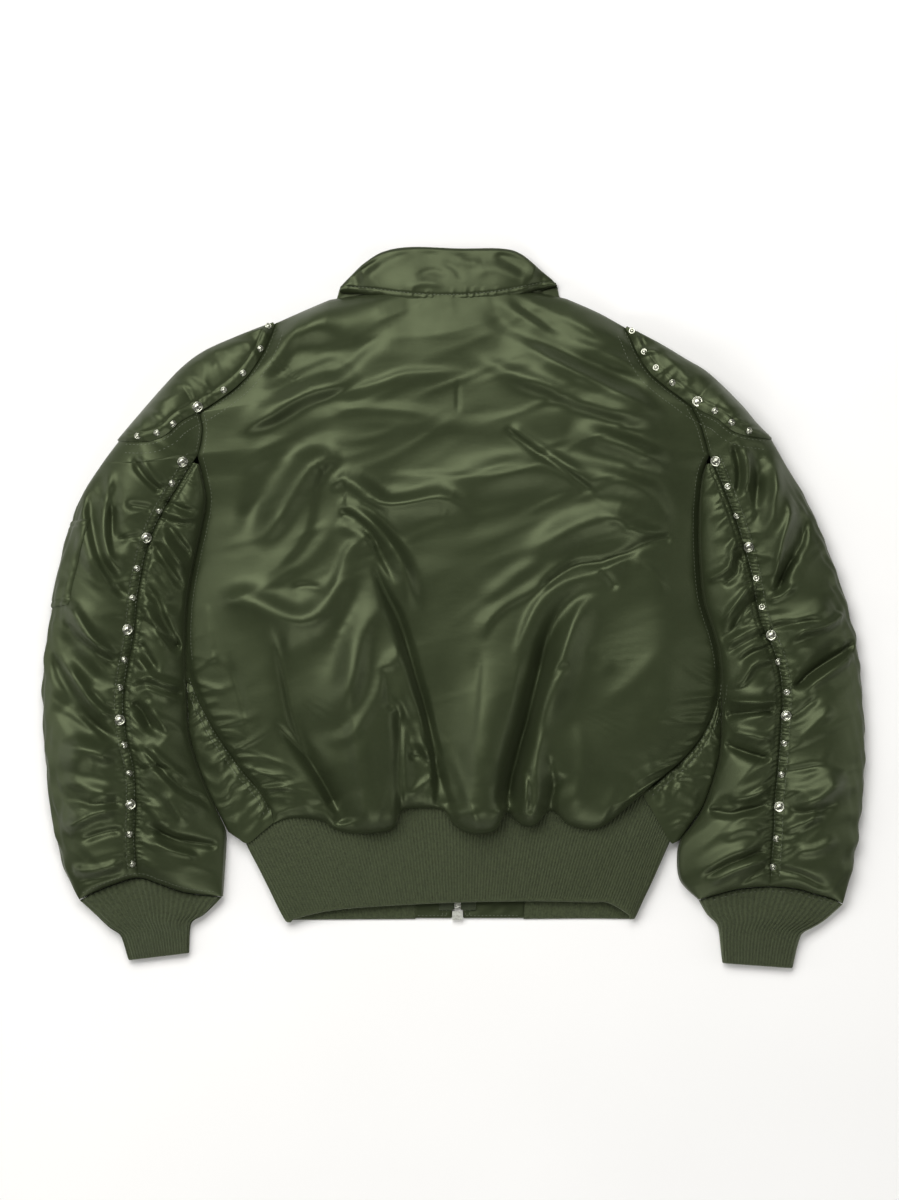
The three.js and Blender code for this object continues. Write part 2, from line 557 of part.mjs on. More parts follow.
const outerGrids = {};
const innerGrids = {};
for (const side of ["left", "right"]) {
  const seamEnd = SLEEVE[side].seam.at(1);
  const cuffLine = line(SLEEVE[side].cuffEdge);
  const shares = range(201, (k) => k / 200);
  const offSeam = (share) => {
    const [x, y] = cuffLine.at(share);
    return Math.hypot(x - seamEnd[0], y - seamEnd[1]);
  };
  SLEEVE[side].cuffSplit = shares.reduce((best, share) => (offSeam(share) < offSeam(best) ? share : best));
  outerGrids[side] = sleeveOuter(side);
  add(`sleeve_outer_${side}`, wall(outerGrids[side], SHELL_WALL, { freeLast: true }), COLOUR.satin);
  innerGrids[side] = sleeveInner(side);
  add(`sleeve_inner_${side}`, wall(innerGrids[side], SHELL_WALL), COLOUR.satin);
}

// Saddles: the studded yoke over each shoulder, in sections from its scalloped edge to the shoulder fold.
const SADDLE_STEPS = [0, 0.25, 0.5, 0.72, 0.88, 1];
const BODY_SHARE = 0.56; // of the shoulder fold that lies beside the back
const SADDLE_FORM = { swell: 4, roundness: 3.2 };
const saddleGrids = {};
function saddle(side) {
  const { fold, bodyEdge, sleeveEdge } = SADDLE[side];
  const bodyRows = range(BACK_ROWS.saddle, (i) => bodyEdge.at(i / BACK_ROWS.saddle));
  const sleeveRowsHere = OUTER_STEPS.map((w) => sleeveEdge.at(w));
  const edgePoints = [...bodyRows, ...sleeveRowsHere];
  const edgeRun = toPart(bodyEdge.at(0.2), 0).sub(toPart(bodyEdge.at(0), 0)).normalize();
  const count = edgePoints.length;
  const shareOf = (i) => {
    const past = i - bodyRows.length;
    return past < 0 ? BODY_SHARE * (i / bodyRows.length) : lerp(BODY_SHARE, 1, OUTER_STEPS[past]);
  };
  return edgePoints.map((edgePoint, i) => {
    const t = shareOf(i);
    const foldPoint = fold.at(t);
    const width = Math.hypot(foldPoint[0] - edgePoint[0], foldPoint[1] - edgePoint[1]);
    const seamSide = trimmed(edgePoint, foldPoint, Math.min(SEAM_GAP, width * 0.3));
    const onSleeve = i >= bodyRows.length;
    const seamHeight = onSleeve
      ? outerGrids[side][0][i - bodyRows.length].z
      : EDGE_HEIGHT[side](edgePoint[1]);
    // The fold is thinner at the neck end, where the saddle runs out.
    const full = lerp(0.5, 1, smooth(t / 0.12));
    const middle = ROLL.middle * full;
    const start = Math.max(seamHeight, middle + 0.5);
    const upper = SADDLE_STEPS.map((w) => {
      const swell = w < 1 ? SADDLE_FORM.swell * smooth(width / 40) * Math.sin(Math.PI * w) : 0;
      const height = sectionHeight(start, middle, w, 0, SADDLE_FORM.roundness) + swell;
      return toPart(mix(seamSide, foldPoint, w), height);
    });
    const along = toPart(fold.at(Math.min(1, t + 0.02)), 0).sub(toPart(fold.at(Math.max(0, t - 0.02)), 0));
    const square = new THREE.Vector3(-along.y, along.x, 0).normalize();
    if (square.y > 0) square.negate();
    square.lerp(edgeRun, 1 - smooth(t / 0.2)).lerp(seamwise(side), smooth((t - 0.7) / 0.3)).normalize();
    const under = ROLL_UNDER.map(([inset, height]) =>
      upper.at(-1).clone().addScaledVector(square, inset * full).setZ(height * full));
    return [...upper, ...under];
  });
}
for (const side of ["left", "right"]) {
  saddleGrids[side] = saddle(side);
  add(`saddle_${side}`, wall(saddleGrids[side], SHELL_WALL, { freeLast: true }), COLOUR.satin);
}

// Side panels: below the ruched seams, each turns under along its outer fold.
const SIDE_FOLD = {
  left: line([
    [188.4, 690], [189.4, 712], [190.6, 733], [196.6, 757], [205.6, 782], [218.6, 811], [228, 831],
  ]),
  right: line([[719.4, 697], [719.6, 712], [719, 744], [715, 768], [703, 803], [691, 823], [679.5, 840]]),
};
const SIDE_HEM = {
  left: line([[273, 823], [262, 832], [248, 843], [238, 838], [228, 831]]),
  right: line([[643, 794], [653, 812], [669.5, 841], [675, 842], [679.5, 840]]),
};
const SIDE_STEPS = [0, 0.22, 0.45, 0.68, 0.88, 1];
const SIDE_ROLL = 0.6; // of the sleeves' outer fold
const SIDE_START = 0.11;
const SIDE_FORM = { crown: 3, roundness: 3 };
function sidePanel(side) {
  const rows = BACK_ROWS.seam + 1;
  const [fold, hem] = [SIDE_FOLD[side], SIDE_HEM[side]];
  return range(rows, (i) => {
    const t = i / (rows - 1);
    const seamPoint = SIDE_SEAM[side].at(Math.max(SIDE_START, t));
    const foldPoint = fold.at(t);
    const seamSide = trimmed(seamPoint, foldPoint, SEAM_GAP);
    const middle = ROLL.middle * SIDE_ROLL;
    const start = Math.max(middle + 1, EDGE_HEIGHT[side](seamPoint[1]));
    const upper = SIDE_STEPS.map((w) => {
      const bow = hem.at(w).map((c, k) => c - mix(hem.at(0), hem.at(1), w)[k]);
      const point = mix(seamSide, foldPoint, w).map((c, k) => c + bow[k] * t ** 4);
      const crown = SIDE_FORM.crown * Math.sin(Math.PI * t);
      return toPart(point, sectionHeight(start, middle, w, crown, SIDE_FORM.roundness));
    });
    const inward = new THREE.Vector3().subVectors(upper[0], upper.at(-1)).setZ(0).normalize();
    const under = ROLL_UNDER.map(([inset, height]) =>
      upper.at(-1).clone().addScaledVector(inward, inset * SIDE_ROLL).setZ(height * SIDE_ROLL));
    return [...upper, ...under];
  });
}

// Gussets: the strip behind each pleat, standing on the front under the back's folded edge.
const GUSSET_WALL = 2;
const GUSSET_INSET = 1.2;
function gusset(side) {
  const rows = BACK_ROWS.pleat + 1;
  const inwards = side === "left" ? 1 : -1;
  return range(rows, (i) => {
    const [x, y] = PLEAT[side].at(lerp(0.01, 1, i / (rows - 1)));
    const top = EDGE_HEIGHT[side](y) - SHELL_WALL - GUSSET_INSET;
    const place = [x + inwards * GUSSET_INSET, y];
    return [toPart(place, top), toPart(place, PLATE_TOP + LAYER_GAP)];
  });
}

for (const side of ["left", "right"]) {
  add(`side_panel_${side}`, wall(sidePanel(side), SHELL_WALL, { freeLast: true }), COLOUR.satin);
  // A gusset stands upright, so its faces are told apart by hand: the outer one looks away from the body.
  const strip = gusset(side);
  const outer = side === "left" ? strip : [...strip].reverse();
  const inwards = side === "left" ? GUSSET_WALL : -GUSSET_WALL;
  const inner = outer.map((row) => row.map((p) => p.clone().add(new THREE.Vector3(inwards, 0, 0))));
  add(`back_gusset_${side}`, shell(outer, inner), COLOUR.satin);
}

// The layer that lies on the surface: fronts and sleeve undersides, flat plates inside the turned-under lips.
const ZIP = { centre: 457.5, top: 345, bottom: 911, channel: 11 };
const FRONT_EDGE = { left: ZIP.centre - ZIP.channel / 2, right: ZIP.centre + ZIP.channel / 2 };
const LIP_LINE = ROLL.inset + ROLL.lip + SEAM_GAP + 0.2;

// A line moved sideways across the plan, towards the given point.
function inset(source, amount, towards, count, from = 0, to = 1) {
  return range(count + 1, (i) => {
    const t = lerp(from, to, i / count);
    const [x, y] = source.at(t);
    const [ax, ay] = source.at(Math.max(0, t - 0.01));
    const [bx, by] = source.at(Math.min(1, t + 0.01));
    const length = Math.hypot(bx - ax, by - ay);
    const normal = [-(by - ay) / length, (bx - ax) / length];
    const turn = Math.sign(normal[0] * (towards[0] - x) + normal[1] * (towards[1] - y));
    return [x + normal[0] * amount * turn, y + normal[1] * amount * turn];
  });
}
const BODY_MIDDLE = [458, 600];
const FRONT_ARMHOLE = {
  left: line([[196, 383], [207, 404], [211, 430], [201, 456]]),
  right: line([[694, 383], [683, 402], [687, 430], [706, 456]]),
};
const FRONT_NECK = {
  left: line([[334, 304], [352, 317], [392, 334], [FRONT_EDGE.left, 342]]),
  right: line([[563, 304], [548, 317], [512, 334], [FRONT_EDGE.right, 342]]),
};
const BAND_FRONT_TOP = {
  left: line([[247, 844], [262, 840], [300, 836], [380, 833], [FRONT_EDGE.left, 832]]),
  right: line([[668, 844], [655, 839], [612, 835], [540, 833], [FRONT_EDGE.right, 832]]),
};
const ARMHOLE_ON_SADDLE = 0.46; // where the front armhole leaves the saddle's lip
function frontOutline(side) {
  const saddleLip = inset(SADDLE[side].fold, LIP_LINE, BODY_MIDDLE, 5, 0.03, ARMHOLE_ON_SADDLE - 0.06);
  const pleatSide = inset(PLEAT[side], 0.1, BODY_MIDDLE, 8, 0.03, 0.96);
  const sideLip = inset(SIDE_FOLD[side], LIP_LINE * SIDE_ROLL + 0.5, BODY_MIDDLE, 6, 0, 1);
  const band = inset(BAND_FRONT_TOP[side], 0.9, BODY_MIDDLE, 5, 0.12, 1);
  return [
    ...inset(FRONT_NECK[side], SEAM_GAP / 2, BODY_MIDDLE, 7).reverse(),
    SADDLE[side].bodyEdge.at(0),
    ...saddleLip,
    ...inset(FRONT_ARMHOLE[side], SEAM_GAP / 2, BODY_MIDDLE, 5),
    ...pleatSide,
    ...sideLip,
    ...band,
  ];
}
function underOutline(side) {
  const away = side === "left" ? [0, 420] : [900, 420];
  const sleeveMiddle = SLEEVE[side].seam.at(0.5);
  const saddleLip = inset(SADDLE[side].fold, LIP_LINE, BODY_MIDDLE, 5, ARMHOLE_ON_SADDLE, 0.9);
  const outerLip = inset(SLEEVE[side].outer, LIP_LINE, sleeveMiddle, 16, 0.02, 1);
  const cuffEdge = inset(line(SLEEVE[side].cuffEdge), SEAM_GAP, SLEEVE[side].seam.at(0.8), 8, 0.12, 0.99);
  return [
    ...saddleLip,
    ...outerLip,
    ...cuffEdge,
    ...inset(SLEEVE[side].inner, 0.4, sleeveMiddle, 20, 0.02, 0.98).reverse(),
    ...inset(FRONT_ARMHOLE[side], SEAM_GAP / 2, away, 5).reverse(),
  ];
}
for (const side of ["left", "right"]) {
  add(`front_${side}`, plate(frontOutline(side), 0, PLATE_TOP), COLOUR.satin);
  add(`sleeve_under_${side}`, plate(underOutline(side), 0, PLATE_TOP), COLOUR.satin);
}

// Waistband: a flattened ring of rib, open at the zip, between its seam and its lower edge.
const BAND_END = { left: 415.5, right: 523.5 };
const BAND_BACK_TOP = line([
  [253, 838], [268, 825.5], [300, 819], [380, 815], [460, 812], [560, 810], [620, 806], [644, 803],
  [661, 836],
]);
const BAND_BACK_HEM = line([
  [290, 919], [327, 910], [373, 905.5], [452, 901.5], [526, 900], [587, 901], [609, 902], [632, 916],
]);
const BAND_FRONT_HEM = {
  left: line([[292, 919], [340, 918.5], [BAND_END.left, 918]]),
  right: line([[630, 918], [587, 917.5], [BAND_END.right, 918]]),
};
const BAND_FOLD = {
  left: [[247, 844], [286, 921]],
  right: [[668, 844], [635, 918]],
};
const BAND_STEPS = { front: 6, back: 22 };
const BAND_SHARE = { left: 0.8, right: 0.68 }; // how far each front rib runs along its seam
const BAND_FRONT_ENDS = { top: 832.5, hem: 918 };
function bandRing() {
  const rail = (front, back, foldOf) => {
    const fold = (side) => {
      const [x, y] = foldOf(side);
      const inwards = side === "left" ? 1 : -1;
      return [-80, -45, 0, 45, 80].map((degrees) => {
        const turn = THREE.MathUtils.degToRad(degrees);
        const inset = (WAIST_HEIGHT / 2) * (1 - Math.cos(turn));
        return toPart([x + inwards * inset, y], (WAIST_HEIGHT / 2) * (1 + Math.sin(turn)));
      });
    };
    const along = (source, steps, height) =>
      range(steps, (k) => toPart(source.at((k + 0.5) / steps), height));
    return [
      ...along(front("left"), BAND_STEPS.front, 0).reverse(),
      ...fold("left"),
      ...along(back, BAND_STEPS.back, WAIST_HEIGHT),
      ...fold("right").reverse(),
      ...along(front("right"), BAND_STEPS.front, 0),
    ];
  };
  const trimTop = (side) => ({ at: (t) => BAND_FRONT_TOP[side].at(lerp(0.05, BAND_SHARE[side], t)) });
  const seamRail = rail(trimTop, BAND_BACK_TOP, (side) => BAND_FOLD[side][0]);
  const hemRail = rail((side) => BAND_FRONT_HEM[side], BAND_BACK_HEM, (side) => BAND_FOLD[side][1]);
  // Each end is cut straight, beside the cloth end that carries the zip.
  const endOf = (side, y) => toPart([BAND_END[side], y], 0);
  const { top, hem } = BAND_FRONT_ENDS;
  const seams = [endOf("left", top), ...seamRail, endOf("right", top)];
  const hems = [endOf("left", hem), ...hemRail, endOf("right", hem)];
  return seams.map((seamPoint, i) => [0, 0.5, 1].map((w) => seamPoint.clone().lerp(hems[i], w)));
}
add("waistband", wall(bandRing(), RIB_WALL, { edges: false }), COLOUR.rib, 0.9);
for (const side of ["left", "right"]) {
  const from = side === "left" ? BAND_END.left + SEAM_GAP : FRONT_EDGE.right;
  const to = side === "left" ? FRONT_EDGE.left : BAND_END.right - SEAM_GAP;
  const { top, hem } = BAND_FRONT_ENDS;
  const outline = [[from, top + 0.1], [to, top + 0.1], [to, hem], [from, hem]];
  add(`waistband_end_${side}`, plate(outline, 0, RIB_WALL), COLOUR.satin);
}

// Cuffs: flattened tubes of rib that narrow below the seam.
const CUFF = {
  left: {
    outer: line([[80, 900], [96, 914], [110, 927], [120, 934], [124, 942], [129, 959]]),
    inner: line([[222, 897], [213, 906], [203, 915], [193, 921], [190, 930], [189, 952]]),
  },
  right: {
    outer: line([[842, 904], [824, 920], [813, 927], [802, 933], [797, 945], [792, 967]]),
    inner: line([[699, 900], [707, 914], [716, 923], [719, 932], [721, 950], [722.5, 962]]),
  },
};
const CUFF_GAP = 1.2;
const CUFF_ROWS = 7;
const CUFF_TOP_STEPS = 10;
function cuffTube(side) {
  const seamEdge = line(SLEEVE[side].cuffEdge);
  return range(CUFF_ROWS, (i) => {
    const t = i / (CUFF_ROWS - 1);
    const [outer, inner] = [CUFF[side].outer.at(t), CUFF[side].inner.at(t)];
    const width = Math.hypot(inner[0] - outer[0], inner[1] - outer[1]);
    const height = lerp(CUFF_HEIGHT, CUFF_HEIGHT - 1, t);
    const place = (w, z) => {
      const bow = seamEdge.at(w).map((c, k) => c - mix(seamEdge.at(0), seamEdge.at(1), w)[k]);
      const below = (k) => (k === 1 ? CUFF_GAP : 0);
      const point = mix(outer, inner, w).map((c, k) => c + bow[k] * (1 - t) ** 1.5 + below(k));
      return toPart(point, z);
    };
    const round = (degrees) => {
      const turn = THREE.MathUtils.degToRad(degrees);
      return [((height / 2) * (1 - Math.cos(turn))) / width, (height / 2) * (1 + Math.sin(turn))];
    };
    const sides = [-50, 0, 50].map(round);
    const flat = (height / 2) / width;
    const across = range(CUFF_TOP_STEPS, (k) => lerp(flat, 1 - flat, k / (CUFF_TOP_STEPS - 1)));
    return [
      ...across.map((w) => place(w, height)),
      ...[...sides].reverse().map(([w, z]) => place(1 - w, z)),
      ...[...across].reverse().map((w) => place(w, 0)),
      ...sides.map(([w, z]) => place(w, z)),
    ];
  });
}
for (const side of ["left", "right"]) {
  add(`cuff_${side}`, wall(cuffTube(side), RIB_WALL, { ring: true }), COLOUR.rib, 0.9);
}

// Collar: the fall and its under-layer fold over along the top edge, and two front wings lie beneath.
const COLLAR_TOP = line([
  [333, 295], [349, 278], [364, 264], [384, 252], [412, 247.5], [460, 249], [500, 249], [520, 254],
  [540, 270], [554, 282], [563, 294],
]);
const COLLAR_EDGE = line([
  [340, 292.5], [368, 295], [416, 301], [460, 302], [500, 298], [540, 290], [556, 286],
]);
const COLLAR_HEIGHT = graded([
  [0, 7.4], [0.07, 8], [0.17, 18.5], [0.3, 22], [0.7, 22], [0.83, 18.5], [0.93, 8], [1, 7.4],
]);
const COLLAR_FOLD = 5.6; // thickness of the turned edge
const COLLAR_FOLD_TOP = 13; // the turned edge's own height above the surface, at most
const COLLAR_SWELL = 1.5;
const COLLAR_ROWS = 21;
function collarSheet() {
  return range(COLLAR_ROWS, (i) => {
    const u = i / (COLLAR_ROWS - 1);
    const top = COLLAR_TOP.at(lerp(0.04, 0.96, u));
    const edge = COLLAR_EDGE.at(u);
    const seam = NECKLINE.at(lerp(0.03, 0.97, u));
    const seamSide = [seam[0], seam[1] - SEAM_GAP - 0.3];
    const edgeTop = COLLAR_HEIGHT(u);
    const foldTop = Math.min(edgeTop - 0.5, COLLAR_FOLD_TOP);
    const seamTop = Math.min(NECK_HEIGHT(seam[0]), edgeTop - COLLAR_WALL - 0.5);
    const fallRise = (w) => lerp(edgeTop, foldTop, smooth(w)) + COLLAR_SWELL * Math.sin(Math.PI * w);
    const fall = [0, 0.2, 0.45, 0.7, 0.88].map((w) => toPart(mix(edge, top, w * 0.96), fallRise(w)));
    const turned = [60, 0, -60].map((degrees) => {
      const turn = THREE.MathUtils.degToRad(degrees);
      const back = (COLLAR_FOLD / 2) * (1 - Math.cos(turn));
      return toPart([top[0], top[1] + back], foldTop - COLLAR_FOLD / 2 + (COLLAR_FOLD / 2) * Math.sin(turn));
    });
    const foldFoot = foldTop - COLLAR_FOLD;
    const under = [0.2, 0.5, 0.8, 1].map((w) =>
      toPart(mix(top, seamSide, lerp(0.08, 1, w)), lerp(foldFoot, seamTop - COLLAR_WALL, smooth(w))));
    return [...fall, ...turned, ...under];
  });
}
function collarWing(side) {
  const from = side === "left" ? 0.06 : 0.94;
  const topEdge = range(9, (i) => {
    const [x, y] = COLLAR_TOP.at(lerp(from, 0.5, i / 8));
    return [x, y + 3];
  });
  const endX = FRONT_EDGE[side];
  topEdge[topEdge.length - 1] = [endX, 253];
  return [...topEdge, ...inset(FRONT_NECK[side], SEAM_GAP / 2, [458, 200], 7).reverse()];
}
const collarLayer = solid(wall(collarSheet(), COLLAR_WALL, { edges: false }));
const wings = ["left", "right"].map((side) => solid(plate(collarWing(side), 0, COLLAR_WALL + 0.4)));
add("collar", geometryOf(wings.reduce((all, wing) => all.add(wing), collarLayer)), COLOUR.satin);

// The pocket on the wearer's left sleeve: only its edge shows, lying over the sleeve's outer fold.
const POCKET = { from: 521, to: 609, wall: 1.5, firstStep: 5 };
function sleevePocket() {
  const rows = outerGrids.left.filter((row) => {
    const y = SHEET_CENTRE.y - row[OUTER_STEPS.length - 1].y;
    return y > POCKET.from && y < POCKET.to;
  });
  return rows.map((row, i) => {
    const fullness = 0.5 * Math.sin((Math.PI * i) / (rows.length - 1));
    const part = row.slice(POCKET.firstStep, OUTER_STEPS.length + 1);
    const outwards = new THREE.Vector3(-1, 0, 0);
    return part.map((point, j) => {
      const [before, after] = [row[POCKET.firstStep + j - 1], row[POCKET.firstStep + j + 1]];
      const normal = new THREE.Vector3().subVectors(after, before);
      normal.set(normal.z, 0, -normal.x).normalize();
      if (normal.dot(outwards) < 0 && normal.z < 0) normal.negate();
      return point.clone().addScaledVector(normal, POCKET.wall + LAYER_GAP + fullness);
    });
  });
}
add("sleeve_pocket", wall(sleevePocket(), POCKET.wall), COLOUR.satin);

// Front zip: two tapes with the joined chain between them, a box at the hem, and a slider with its pull tab.
const CHAIN = { width: 6, bottom: 3.2, top: 5.2 };
const BOX = { half: 5.2, length: 8.5, bottom: 0.3, top: 5.2 };
const TAPE = { width: 15, bottom: PLATE_TOP + LAYER_GAP, top: PLATE_TOP + LAYER_GAP + 0.8 };
const SLIDER = { width: 9, length: 13, bottom: 2.6, top: 6.4 };
const HINGE = { y: ZIP.top + SLIDER.length / 2 + 1, z: 1.3 };
const TAB = { width: 6.4, length: 26, thick: 1.2, barHalf: 0.6, hole: [3.2, 3] };
const sliderBottomEnd = ZIP.top + SLIDER.length;
function tape(side) {
  const outwards = side === "left" ? -1 : 1;
  const chainSide = ZIP.centre + outwards * (CHAIN.width / 2 + SEAM_GAP);
  const sliderSide = ZIP.centre + outwards * (SLIDER.width / 2 + SEAM_GAP);
  const farSide = chainSide + outwards * TAPE.width;
  const [topEnd, hemEnd] = [ZIP.top - 0.5, ZIP.bottom - 1];
  const outline = [
    [sliderSide, topEnd], [farSide, topEnd], [farSide, hemEnd],
    [chainSide, hemEnd], [chainSide, sliderBottomEnd + 1], [sliderSide, sliderBottomEnd + 1],
  ];
  return plate(outline, TAPE.bottom, TAPE.top);
}
const square = (fromX, fromY, toX, toY) => [[fromX, fromY], [toX, fromY], [toX, toY], [fromX, toY]];
const ZIP_METAL = { colour: 0xb9b59f, roughness: 0.35, metalness: 0.9 };
function addMetal(name, geometry) {
  add(name, geometry, ZIP_METAL.colour, ZIP_METAL.roughness, ZIP_METAL.metalness);
}
// A block between two rows of the sheet, centred on the zip.
function zipBlock(half, fromY, toY, { bottom, top }) {
  return plate(square(ZIP.centre - half, fromY, ZIP.centre + half, toY), bottom, top);
}
for (const side of ["left", "right"]) add(`zip_tape_${side}`, tape(side), COLOUR.tape, 0.8);
addMetal("zip_chain", zipBlock(CHAIN.width / 2, sliderBottomEnd + SEAM_GAP, ZIP.bottom - SEAM_GAP, CHAIN));
addMetal("zip_box", zipBlock(BOX.half, ZIP.bottom, ZIP.bottom + BOX.length, BOX));

// The slider is a rounded block, with an arch under it that holds the tab's cross-bar.
function zipSlider() {
  const half = SLIDER.width / 2;
  const { centre, top } = ZIP;
  const body = plate([
    [centre - half, top + 2], [centre - half + 2, top], [centre + half - 2, top], [centre + half, top + 2],
    [centre + half, top + 7], [centre + half - 1.5, top + SLIDER.length],
    [centre - half + 1.5, top + SLIDER.length], [centre - half, top + 7],
  ], SLIDER.bottom, SLIDER.top);
  const [innerHalf, outerHalf] = [0.85, 1.75];
  const sink = 0.5;
  const arch = bar([
    [HINGE.y - outerHalf, SLIDER.bottom + sink], [HINGE.y - outerHalf, 0.6], [HINGE.y - outerHalf + 0.4, 0.1],
    [HINGE.y + outerHalf - 0.4, 0.1], [HINGE.y + outerHalf, 0.6], [HINGE.y + outerHalf, SLIDER.bottom + sink],
    [HINGE.y + innerHalf, SLIDER.bottom + sink], [HINGE.y + innerHalf, 0.5], [HINGE.y - innerHalf, 0.5],
    [HINGE.y - innerHalf, SLIDER.bottom + sink],
  ], centre - 0.8, centre + 0.8);
  return geometryOf(solid(body).add(solid(arch)));
}
addMetal("zip_slider", zipSlider());

function zipPullTab() {
  const half = TAB.width / 2;
  const [near, far] = [HINGE.y - TAB.barHalf, HINGE.y + TAB.length];
  const [cx, bottom] = [ZIP.centre, HINGE.z - TAB.thick / 2];
  const outline = plate([
    [cx - 2.4, near], [cx + 2.4, near], [cx + half, near + 2], [cx + half, far - 2.4], [cx + half - 2, far],
    [cx - half + 2, far], [cx - half, far - 2.4], [cx - half, near + 2],
  ], bottom, bottom + TAB.thick);
  const [holeWidth, holeLength] = TAB.hole;
  const holeStart = HINGE.y + TAB.barHalf;
  const through = { bottom: bottom - 1, top: bottom + TAB.thick + 1 };
  const hole = zipBlock(holeWidth / 2, holeStart, holeStart + holeLength, through);
  return geometryOf(solid(outline).subtract(solid(hole)));
}
addMetal("zip_pull_tab", zipPullTab());

// Studs: domed caps that stand on the cloth, each square to it.
const topGrids = {
  back: backGrid,
  ...Object.fromEntries(["left", "right"].flatMap((side) => [
    [`outer ${side}`, outerGrids[side].map((row) => row.slice(0, OUTER_STEPS.length))],
    [`inner ${side}`, innerGrids[side].map((row) => row.slice(0, INNER_STEPS.length))],
    [`saddle ${side}`, saddleGrids[side].map((row) => row.slice(0, SADDLE_STEPS.length))],
  ])),
};
const topTriangles = Object.values(topGrids).flatMap((grid) =>
  grid.slice(1).flatMap((row, i) =>
    row.slice(1).flatMap((corner, j) => [
      new THREE.Triangle(grid[i][j], grid[i][j + 1], corner),
      new THREE.Triangle(grid[i][j], corner, row[j]),
    ])));
function heightAt(x, y) {
  const probe = new THREE.Vector3();
  let best = null;
  for (const triangle of topTriangles) {
    const { a, b, c } = triangle;
    if (Math.min(a.x, b.x, c.x) > x || Math.max(a.x, b.x, c.x) < x) continue;
    if (Math.min(a.y, b.y, c.y) > y || Math.max(a.y, b.y, c.y) < y) continue;
    const area = (b.x - a.x) * (c.y - a.y) - (c.x - a.x) * (b.y - a.y);
    probe.x = ((b.x - x) * (c.y - y) - (c.x - x) * (b.y - y)) / area;
    probe.y = ((c.x - x) * (a.y - y) - (a.x - x) * (c.y - y)) / area;
    probe.z = 1 - probe.x - probe.y;
    if (Math.min(probe.x, probe.y, probe.z) < -0.02) continue;
    const height = probe.x * a.z + probe.y * b.z + probe.z * c.z;
    if (best === null || height > best) best = height;
  }
  return best;
}
const STUD_GAP = 0.7;
const STUD = {
  large: { radius: 6, height: 2.6, sides: 14 },
  small: { radius: 3.8, height: 2, sides: 10 },
};
const STUDS = {
  large: {
    left: [[199, 408], [184, 462.5], [148, 538], [129, 629.5], [121.3, 719.5], [132, 803.5]],
    right: [[696, 402.7], [714.5, 462], [747.5, 547.3], [770, 635], [784.8, 715.3], [778, 806]],
  },
  small: {
    left: [[268.6, 326.5], [261, 349.4], [244, 374], [225, 391], [175, 425], [159, 434], [139.4, 437]],
    right: [
      [631.7, 331.3], [643.4, 352.7], [655, 368.8], [671.3, 383.6], [713, 412], [729.6, 423.6], [747, 431.8],
    ],
  },
};
function studGeometry({ radius, height, sides }) {
  const profile = [[0, 0], [radius, 0], [radius, 0.25 * height], [0.72 * radius, 0.8 * height], [0, height]];
  const dome = new THREE.LatheGeometry(profile.map(([r, z]) => new THREE.Vector2(r, z)), sides);
  return dome.rotateX(Math.PI / 2);
}
function standOn(x, y, radius) {
  const around = range(8, (k) => {
    const angle = (k / 8) * 2 * Math.PI;
    const [px, py] = [x + radius * Math.cos(angle), y + radius * Math.sin(angle)];
    const z = heightAt(px, py);
    return z === null ? null : new THREE.Vector3(px, py, z);
  }).filter(Boolean);
  const centre = new THREE.Vector3(x, y, heightAt(x, y));
  // The tilt that fits the points around best.
  const slope = around.reduce((sum, p) => [
    sum[0] + ((p.z - centre.z) * (p.x - x)) / (radius * radius),
    sum[1] + ((p.z - centre.z) * (p.y - y)) / (radius * radius),
  ], [0, 0]).map((v) => (2 * v) / around.length);
  const normal = new THREE.Vector3(-slope[0], -slope[1], 1).normalize();
  const rise = Math.max(...[...around, centre].map((p) => p.clone().sub(centre).dot(normal)));
  return { normal, foot: centre.addScaledVector(normal, Math.max(0, rise) + STUD_GAP) };
}
for (const [kind, sides] of Object.entries(STUDS)) {
  for (const [side, places] of Object.entries(sides)) {
    places.forEach(([px, py], i) => {
      const spot = toPart([px, py], 0);
      const { normal, foot } = standOn(spot.x, spot.y, STUD[kind].radius);
      const stud = add(`stud_${kind}_${side}_${i + 1}`, studGeometry(STUD[kind]), COLOUR.metal, 0.3, 1);
      stud.quaternion.setFromUnitVectors(new THREE.Vector3(0, 0, 1), normal);
      stud.position.copy(foot);
    });
  }
}

export default jacket;
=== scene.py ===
# A sage green satin flight jacket, lying face down on a pale floor with its back upwards.
import math
import bpy
import numpy as np
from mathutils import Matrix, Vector
from mathutils.bvhtree import BVHTree
from mathutils.geometry import delaunay_2d_cdt


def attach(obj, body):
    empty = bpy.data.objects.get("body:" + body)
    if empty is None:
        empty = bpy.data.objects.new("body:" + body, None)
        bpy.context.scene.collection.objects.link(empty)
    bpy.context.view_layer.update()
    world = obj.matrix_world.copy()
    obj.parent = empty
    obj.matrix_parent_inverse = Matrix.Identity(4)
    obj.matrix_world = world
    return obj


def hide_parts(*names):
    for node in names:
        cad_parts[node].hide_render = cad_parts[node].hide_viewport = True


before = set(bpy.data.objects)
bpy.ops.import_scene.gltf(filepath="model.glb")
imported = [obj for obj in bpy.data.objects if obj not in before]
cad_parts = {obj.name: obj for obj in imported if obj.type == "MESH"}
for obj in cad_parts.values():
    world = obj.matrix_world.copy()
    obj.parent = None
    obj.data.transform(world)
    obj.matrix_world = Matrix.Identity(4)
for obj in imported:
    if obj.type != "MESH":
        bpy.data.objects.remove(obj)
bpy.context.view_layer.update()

# Sizes are in millimetres. Plan points lie on a cutting sheet, with x to the right and y down.
SHEET_CENTRE = (453.5, 607.75)
PHOTO = {"width": 899, "height": 1200}
RIB_WALL = 2.8
ROLL = {"middle": 11, "inset": 9, "lip": 5}
WAIST_HEIGHT = 12
CUFF_HEIGHT = 11.5
